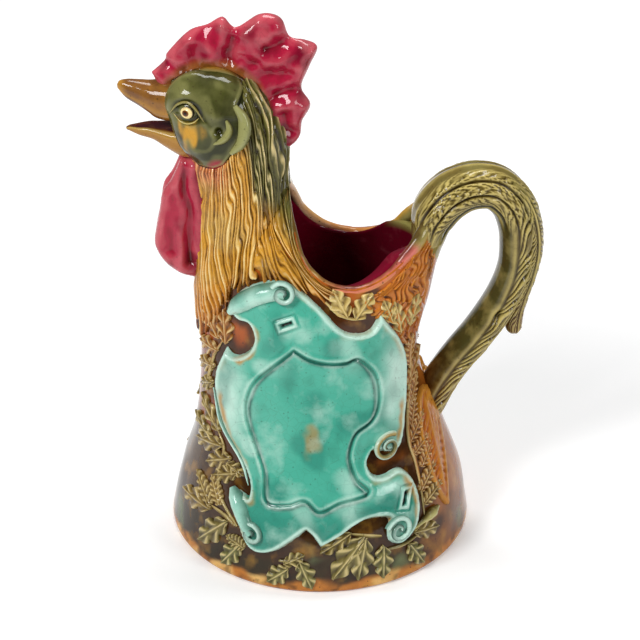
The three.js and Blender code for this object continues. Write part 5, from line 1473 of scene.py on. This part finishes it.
# %% Leaf blanks
def make_blank(name, lobes, sharp, rows=44, columns=17):
    """A leaf one unit long and one unit in half width, with lifts instead of heights."""
    t = np.linspace(0, 1, rows)[:, None]
    s = np.linspace(-1, 1, columns)[None, :]
    lobed = 0.55 + 0.45 * np.abs(np.sin(np.pi * (lobes * t + 0.15))) ** 0.7 if lobes else 1.0
    width = np.sin(np.pi * np.clip(0.06 + 0.94 * t, 0, 1) ** sharp) ** 0.8 * lobed + 0.03
    x = t + 0.10 * np.abs(s) * (1 if lobes else 0.3) * (1 - t)
    y = s * width
    slant = (lobes or 6) * t - 0.35 + 0.6 * (1 - np.abs(s))
    ribs = np.cos(2 * np.pi * slant) * fade(0.1, 0.35, np.abs(s))
    midrib = bump(s, 0, 0.09) - 0.7 * bump(np.abs(s), 0.2, 0.09)
    lift = (0.85 + 0.2 * ribs + 0.25 * midrib) * (np.abs(s) < 0.99) * (t > 0.001) * (t < 0.999) - 0.25
    ridge = np.clip(0.5 + 0.34 * ribs + 0.4 * midrib, 0, 1)
    top = np.stack(np.broadcast_arrays(x, y, 0 * x), -1).reshape(-1, 3)
    quads = grid_quads(rows, columns, False)[:, ::-1]
    points, faces, inside = two_sided(top, top, inner_points(rows, columns), quads)
    under = np.full(inside.sum(), -0.6)
    mesh = make_mesh(name, points / MM, faces, lift=np.concatenate([lift.ravel(), under]),
                     ridge=np.concatenate([np.broadcast_to(ridge, (rows, columns)).ravel(), under + 1]))
    return bpy.data.objects.new(name, mesh)


CARRIER_COLUMNS, CARRIER_ROWS = 180, 120
blanks = bpy.data.collections.new("leaf_blanks")
for blank in (make_blank("blank_0_oak", 3, 0.9), make_blank("blank_1_laurel", 0, 0.85)):
    blanks.objects.link(blank)
carrier_turn = full_turn(CARRIER_COLUMNS)
carrier_z = np.linspace(0, 200, CARRIER_ROWS)[:, None]
carrier_points, _ = ring_points(body_at, *np.broadcast_arrays(carrier_turn, carrier_z))
carrier_quads = grid_quads(CARRIER_ROWS, CARRIER_COLUMNS)
carrier_mesh = make_mesh("carrier", carrier_points.reshape(-1, 3), carrier_quads)
carrier = bpy.data.objects.new("carrier", carrier_mesh)
bpy.context.scene.collection.objects.link(carrier)

# %% Sprays
LEAF_RELIEF, LEAF_LONGER, LEAF_WIDER, STEM_POINTS = 2.6, 1.06, 1.25, 30
BUD = [(50, 27.4), (56, 29), (60, 30.2), (64, 31.4)]
BUD_HALVES = run_values([1.2, 1.3, 1.6, 3.0, 3.2, 1.2], STEM_POINTS)


def paint_leaf(places):
    x, _, z = places.T
    tint = blend(blend(STRAW, BROWN, 0.6), OLIVE, 0.3 + 0.5 * wobble(places, 17, 1.9))
    tint = blend(tint, blend(CELADON, OLIVE, 0.5), fade(30, 12, z) * 0.5)
    tint = blend(tint, AMBER, np.maximum(fade(96, 130, z), fade(38, 48, x) * fade(30, 60, z)) * 0.5)
    return blend(tint, STRAW, fade(128, 144, z) * fade(-5, 5, x) * 0.75)


def add_leaves(name, node, leaves, side):
    """Sets the blanks on the stalks of a spray and keeps the mesh that the tree makes."""
    stalks, _ = on_flank([leaf[0] for leaf in leaves], side)
    tips, _ = on_flank([leaf[1] for leaf in leaves], side)
    middle, upward = on_flank([(np.array(leaf[0]) + leaf[1]) / 2 for leaf in leaves], side)
    reach = tips - stalks
    lengths = np.linalg.norm(reach, axis=1) * LEAF_LONGER
    size = np.column_stack([lengths, [LEAF_WIDER * leaf[2] for leaf in leaves], np.ones(len(leaves))])
    mesh = bpy.data.meshes.new(name + ".spots")
    mesh.from_pydata((stalks * MM).tolist(), [], [])
    add_attributes(mesh, {"upward": upward, "along": unit(reach), "size": size * MM,
                          "relief": np.full(len(leaves), LEAF_RELIEF * MM),
                          "kind": np.array([leaf[3] for leaf in leaves], float),
                          "tint": paint_leaf(middle)})
    made = bake(name, mesh, LEAF_TREE, Blanks=blanks, Carrier=carrier, Material=GLAZES["leaf_glaze"])
    add_piece(name, made, "leaf_glaze", node)


for spray, (leaves, stems) in SPRAYS.items():
    for flank, side in FLANKS.items():
        node = spray + "_" + flank
        add_leaves(spray + "_leaves_" + flank, node, leaves, side)
        twigs = Strands()
        for stem in stems:
            places, normals = on_flank(spline(stem, STEM_POINTS), side, 0.5)
            twigs.add(places, normals, taper(STEM_POINTS, 1.25, 0.6, 0.25), paint_leaf(places))
        if spray == "twig_spray":
            places, normals = on_flank(spline(BUD, STEM_POINTS), side, 1.2)
            twigs.add(places, normals, BUD_HALVES, blend(STRAW, CELADON, 0.4))
        twigs.make(spray + "_stems_" + flank, "leaf_glaze", node, 0.9, 8)
bpy.data.objects.remove(carrier)
for blank in list(blanks.objects):
    bpy.data.objects.remove(blank)
bpy.data.collections.remove(blanks)

# %% [markdown]
# ## Saddle plumes and flank feathers
# Two long orange plumes hang below the handle's lower end, and short feathers overlap beside its root. A
# plume is one raised leaf of clay, so it is a laid pillow with a shaft and slanted barbs. The short
# feathers are combed like the hackles, so they are a carved sheet again, in tiers whose tips lie over the
# next tier.

# %% Saddle plumes
PLUMES = [((54.5, 90), (70, 27), 5.6), ((57.5, 86), (65, 46), 3.2)]


def plume_outline(stalk, tip, half):
    """The outline of a plume from its stalk to its tip."""
    t = np.linspace(0, 1, 40)
    stalk, tip = np.array(stalk, float), np.array(tip, float)
    across = unit(np.array([-(tip - stalk)[1], (tip - stalk)[0]]))
    width = half * np.sin(np.pi * t**0.8) ** 0.7
    middle = stalk + t[:, None] * (tip - stalk)
    return np.vstack([middle - across * width[:, None], (middle + across * width[:, None])[-2:0:-1]])


def plume_rise(stalk, tip, half):
    """Height of a plume: rounded, with a shaft and slanted barbs."""
    stalk, length = np.array(stalk, float), np.linalg.norm(np.subtract(tip, stalk))
    way = np.subtract(tip, stalk) / length

    def rise(places, depth):
        along = (places - stalk) @ way
        off = np.abs((places - stalk) @ np.array([-way[1], way[0]]))
        slant = along - 2.2 * off + 1.2 * np.sin(along / 7)
        barbs = np.cos(2 * np.pi * slant / 4.6) * fade(0.6, 1.8, off)
        body = 0.4 + 2.0 * np.sqrt(np.clip(depth / half, 0, 1)) + 0.6 * bump(off, 0, 0.8)
        body = body + 0.4 * barbs * fade(1, 2.5, depth)
        return body + 0.8 * bump(depth, 0.9, 0.7) - 0.5 * bump(depth, 2.3, 0.6)

    return rise


def paint_plume(points, lift):
    return blend(ORANGE, RUST, 0.5 + 0.5 * wobble(points, 9, 3.0))


for flank, side in FLANKS.items():
    for number, (stalk, tip, half) in enumerate(PLUMES):
        outline = plume_outline(stalk, tip, half)
        name = "saddle_plume_{}_{}".format(flank, number)
        make_laid(name, "saddle_plume_" + flank, "amber_glaze", outline[::-1], 0.6,
                  plume_rise(stalk, tip, half), paint_plume, side)

# %% Flank feathers
FLANK_LINES = [
    [(51, 181), (45.5, 170), (38.5, 163.5), (31.5, 159), (26, 157), (20, 156.5)],
    [(55, 183), (48.5, 173), (41.5, 163), (35.5, 155), (32, 149), (30, 142)],
    [(58, 182), (52.5, 172), (46.5, 161.5), (42, 151), (39, 142), (37.5, 132)],
    [(60, 179), (55.5, 168), (51.5, 157), (48, 146), (45.5, 134), (45, 121)],
    [(61.5, 176), (58.5, 164), (56, 152), (53, 140), (50.5, 126), (49, 111)],
    [(63, 172), (61, 160), (59.4, 150), (57.4, 138), (54.6, 124), (52.6, 109)],
]
FLANK_STRANDS, FLANK_TIERS, FLANK_ROWS, FLANK_COLUMNS = 2.7, 4.0, 150, 120
flank_places, fall, along, lane_grid = spread_lanes(FLANK_LINES, FLANK_ROWS, FLANK_COLUMNS)
strand = (FLANK_STRANDS * lane_grid + 0.75 * np.sin(fall / 2.6 + 1.9 * lane_grid)
          + 0.35 * np.sin(fall / 6 + 4 * lane_grid))
number = np.floor(strand)
tier = FLANK_TIERS * along + luck_of(number)
share = tier - np.floor(tier)
narrow = np.sqrt(np.clip(1 - np.clip((share - 0.7) / 0.3, 0, 1) ** 2, 0.001, 1))
off = np.abs(2 * (strand - number) - 1) / narrow
barrel = np.sqrt(np.maximum(1 - off**2, 0))
groove = rounded(2 * strand + 0.4 * share)
flank_height = np.where(off < 1, (0.9 + 1.5 * share) * barrel + 0.35 * groove * barrel, 0.0) - 0.5
flank_height = flank_height * (0.15 + 0.85 * fade(4.8, 3.6, lane_grid)) - 1.2 * fade(4.8, 5.0, lane_grid)
flank_height = flank_height - 1.6 * (1 - fade(0, 0.05, along) * fade(1.0, 0.95, along))
flank_height = flank_height - 1.2 * fade(0.12, 0, lane_grid)
# Painted shade: the gaps between feathers get a low ridge, so the glaze darkens there as pooled glaze and
# shade.
flank_ridge = 0.05 + 0.7 * barrel**2 * (0.5 + 0.5 * share) + 0.2 * groove**2 - 0.2 * (off >= 1)
flank_ridge = np.clip(flank_ridge, 0, 1)
spots = flank_places.reshape(-1, 2)
for flank, side in FLANKS.items():
    points, _ = on_flank(spots, side)
    tint = blend(ORANGE, RUST, 0.3 + 0.4 * fade(150, 128, spots[:, 1]))
    tint = blend(tint, BROWN, 0.6 * fade(0.1, 0.6, wobble(points, 10, 6.6)))
    sheet = points.reshape(FLANK_ROWS, FLANK_COLUMNS, 3)
    add_sheet("flank_feathers_" + flank, "amber_glaze", "bell_body", sheet, [0, 0, 150], flank_height,
              flank_ridge, tint, side)

# %% [markdown]
# ## Handle and sickle plume
# The tail is bent round into the handle, and one long sickle feather lies along its outside. A bevelled
# curve gives a smooth tube, but no feathers. So rings are set along the bent line, and the reach of each
# ring carries the feathers: shafts, slanted barbs on both sides of them, and grooves between.

# %% Barbs and feathers
def barb_waves(share, across, count, slant, seed):
    """Slanted barbs that sweep away from a shaft, unevenly spaced and unevenly deep."""
    drift = 0.5 * np.sin(23 * share + seed) + 0.3 * np.sin(61 * share + 2.1 * seed)
    drift = drift + 0.25 * np.sin(9 * across + seed)
    phase = count * share + drift - slant * across
    depth = 0.65 + 0.35 * np.sin(2.4 * np.floor(phase) + seed)
    return depth * (1 - 2 * np.abs(np.cos(np.pi * phase)) ** 3)


def handle_relief(share, turn):
    """Feathers on the handle: fine plumes over the arch, one broad feather down the back."""
    arch = fade(0.06, 0.14, share) * fade(0.42, 0.34, share)
    back = fade(0.32, 0.40, share)
    rise = 0.25 * np.sin(turn / 5 + 9 * share) * arch * fade(40, 20, turn)
    for crevice, seed in ((50, 0.4), (88, 1.9)):
        off = turn - crevice
        barbs = barb_waves(share, np.abs(off) / 26, 42, 2.2, seed)
        barbs = barbs * bump(off, 0, 19) * fade(2, 6, np.abs(off))
        rise = rise + arch * (0.8 * barbs - 1.9 * bump(off, 0, 3.4))
    rise = rise - arch * 1.0 * bump(turn, 126, 6)
    long_barbs = barb_waves(share, (turn - 22) / 60, 34, 3.2, 0.9) * fade(20, 27, turn) * fade(92, 74, turn)
    rise = rise + back * (1.0 * long_barbs + 0.9 * bump(turn, 18, 5) - 1.2 * bump(turn, 90, 9))
    return rise - 4.2 * bump(share, 0.63, 0.016) * bump(turn, 84, 17)


def plume_relief(share, turn):
    off = turn - 56
    inner = barb_waves(share, off / 60, 30, 3.4, 0.2) * fade(4, 14, off) * fade(80, 60, off)
    outer = barb_waves(share, -off / 50, 44, 3.0, 1.4) * fade(-4, -12, off)
    barbs = 0.45 * inner + 0.45 * outer
    return barbs + 0.9 * bump(off, 0, 6) - 0.8 * bump(off, 10, 5) - 0.8 * bump(off, -10, 5)


print("barbs along a shaft:", barb_waves(np.linspace(0, 0.1, 4), 0.5, 42, 2.2, 0.4).round(2))

# %% Feathered tubes
def make_tail(name, node, path, thick, wide, rows, columns, relief):
    """A tube along a bent line, with half thicknesses, half widths and a relief on its skin."""
    middle = spline(path, rows)
    tangent = unit(np.gradient(middle, axis=0))
    normal = np.stack([-tangent[:, 1], tangent[:, 0]], 1)
    along = np.linspace(0, 1, rows)[:, None]
    turn = full_turn(columns)[None, :]
    signed = np.degrees(np.where(turn > np.pi, 2 * np.pi - turn, turn))
    rise = relief(along, signed)
    tip = np.sqrt(np.clip(1 - (np.clip(along - 0.96, 0, 1) / 0.04) ** 2, 0.01, 1))
    half_thick = tip * run_values(thick, rows)[:, None]
    half_wide = tip * run_values(wide, rows)[:, None]
    out = (half_thick + rise * np.minimum(half_thick / 6, 1)) * np.cos(turn)
    across = -(half_wide + rise * np.minimum(half_wide / 6, 1)) * np.sin(turn)
    x, z = middle[:, :1] + normal[:, :1] * out, middle[:, 1:] + normal[:, 1:] * out
    points, quads, triangles = capped(np.stack([x, across, z], -1).reshape(-1, 3), rows, columns)
    turn_all = np.concatenate([np.tile(signed[0], rows), [0, 0]])
    along_all = np.concatenate([np.repeat(along[:, 0], columns), [0, 1]])
    tint = paint_tail(points, turn_all, along_all)
    ridge = 0.65 * crests(points, quads, 7, 0.15) + 0.35 * crests(points, quads, 30, 0.7)
    add_form(name, "tail_glaze", node, points, quads, triangles, tint=tint, ridge=ridge)


def paint_tail(points, turn, along):
    cloud = wobble(points, 16, 2.6)
    tint = blend(glaze(112, 96, 46), MOSS, fade(0, 0.6, cloud) * 0.3)
    tint = blend(tint, DARK_OLIVE, 0.8 * fade(96, 124, turn))
    tint = blend(tint, BROWN, fade(0.72, 0.95, along) * 0.6)
    return blend(tint, STRAW, fade(0.12, 0.0, along) * 0.6)


HANDLE_ROWS, HANDLE_COLUMNS, PLUME_ROWS, PLUME_COLUMNS = 660, 136, 340, 84
HANDLE = [(57, 160), (58, 174), (60.5, 187.5), (67, 197), (76, 203), (85.5, 204.8), (94, 202.6),
          (101.5, 194.5), (105.2, 183), (106, 170), (104.8, 156), (101, 143), (95, 130), (86, 115),
          (76, 101), (67, 86), (60, 70), (52, 58)]
make_tail("handle_feathers", "handle", HANDLE,
          [6, 9, 12, 12.4, 12.2, 11.6, 11, 10, 9.2, 9, 9, 9, 9, 9, 9, 9, 8.5],
          [8, 17, 20, 16.5, 14.5, 13.8, 13.2, 13, 13, 13, 12.5, 12, 12, 11, 10], HANDLE_ROWS,
          HANDLE_COLUMNS, handle_relief)
PLUME = [(72, 206), (81, 210.4), (91, 210), (101.5, 204), (109, 194), (113, 181), (114, 167), (112.2, 153),
         (109, 140), (106.4, 127), (106.2, 114.6)]
make_tail("tail_plume_feather", "tail_plume", PLUME, [1.5, 4, 5.2, 5.6, 5.8, 5.8, 5.6, 5.2, 4.9, 4.7, 4.4],
          [2, 6, 8, 9, 9.4, 9.4, 8.6, 7.4, 6, 5.2, 4.4], PLUME_ROWS, PLUME_COLUMNS, plume_relief)

# %% [markdown]
# ## Stage, camera and light
# Pottery is shot on white paper, and its gloss is the mirror image of large lamps. A white world would
# flatten the glaze, so the world stays dim and three soft boxes make the highlights. The floor glows a
# little for rays that see it and more away from the foot, so the far floor is white and the shadow near
# the foot stays. The camera stands in the photograph's place.

# %% Floor
FLOOR_REACH, FLOOR_GREY = 6.0, (0.9, 0.9, 0.9, 1)
GLOW = {"From Min": 0.2, "From Max": 0.75, "To Min": 0.19, "To Max": 0.47}


def make_floor():
    mesh = bpy.data.meshes.new("floor")
    corners = [(x * FLOOR_REACH, y * FLOOR_REACH, 0) for x, y in ((-1, -1), (1, -1), (1, 1), (-1, 1))]
    mesh.from_pydata(corners, [], [(0, 1, 2, 3)])
    material = bpy.data.materials.new("floor_white")
    material.use_nodes = True
    tree = material.node_tree
    link = tree.links.new
    surface = tree.nodes["Principled BSDF"]
    surface.inputs["Base Color"].default_value = FLOOR_GREY
    surface.inputs["Roughness"].default_value = 0.9
    surface.inputs["Specular IOR Level"].default_value = 0.0
    path = add_node(tree, "ShaderNodeLightPath")
    seen = math_node(tree, "MAXIMUM", path.outputs["Is Camera Ray"], path.outputs["Is Transmission Ray"])
    seen = math_node(tree, "MAXIMUM", seen, path.outputs["Is Glossy Ray"])
    away = add_node(tree, "ShaderNodeVectorMath", operation="LENGTH")
    link(add_node(tree, "ShaderNodeTexCoord").outputs["Object"], away.inputs[0])
    level = add_node(tree, "ShaderNodeMapRange", interpolation_type="SMOOTHSTEP")
    for label, value in GLOW.items():
        level.inputs[label].default_value = value
    link(away.outputs["Value"], level.inputs["Value"])
    glow = math_node(tree, "MULTIPLY", seen, level.outputs["Result"])
    surface.inputs["Emission Color"].default_value = (1, 1, 1, 1)
    link(glow, surface.inputs["Emission Strength"])
    mesh.materials.append(material)
    floor = bpy.data.objects.new("floor", mesh)
    bpy.context.scene.collection.objects.link(floor)


make_floor()
print("floor:", 2 * FLOOR_REACH, "m wide")

# %% Camera
PHOTO_WIDTH, FOCAL_PIXELS, SENSOR, LOOK_DOWN = 640, 2070, 36.0, 29.4
scene = bpy.context.scene
lens = bpy.data.cameras.new("camera")
lens.sensor_width = SENSOR
lens.lens = SENSOR * FOCAL_PIXELS / PHOTO_WIDTH
camera = bpy.data.objects.new("camera", lens)
scene.collection.objects.link(camera)
camera.location = (0.0, -0.989, 0.680)
camera.rotation_euler = (math.radians(90 - LOOK_DOWN), 0, 0)
scene.camera = camera
print("focal length:", round(lens.lens, 1), "mm")

# %% Light
CENTRE = (0.0, 0.0, 0.15)
WORLD_COLOUR, WORLD_STRENGTH = (0.85, 0.87, 0.9, 1), 0.12


def add_softbox(name, place, width, height, power):
    """A large lamp that looks at the middle of the pitcher."""
    lamp = bpy.data.lights.new(name, "AREA")
    lamp.shape = "RECTANGLE"
    lamp.size, lamp.size_y, lamp.energy = width, height, power
    box = bpy.data.objects.new(name, lamp)
    scene.collection.objects.link(box)
    box.location = place
    box.rotation_euler = (Vector(CENTRE) - box.location).to_track_quat("-Z", "Y").to_euler()


add_softbox("key_box", (-0.75, -0.75, 1.05), 0.45, 0.45, 14)
add_softbox("fill_box", (0.95, -0.75, 0.75), 0.35, 0.6, 6)
add_softbox("top_box", (0.1, 0.35, 1.25), 0.7, 0.35, 9)
world = bpy.data.worlds.new("studio")
world.use_nodes = True
background = world.node_tree.nodes["Background"]
background.inputs["Color"].default_value = WORLD_COLOUR
background.inputs["Strength"].default_value = WORLD_STRENGTH
scene.world = world
scene.view_settings.view_transform = "Standard"
print("soft boxes:", len(bpy.data.lights))
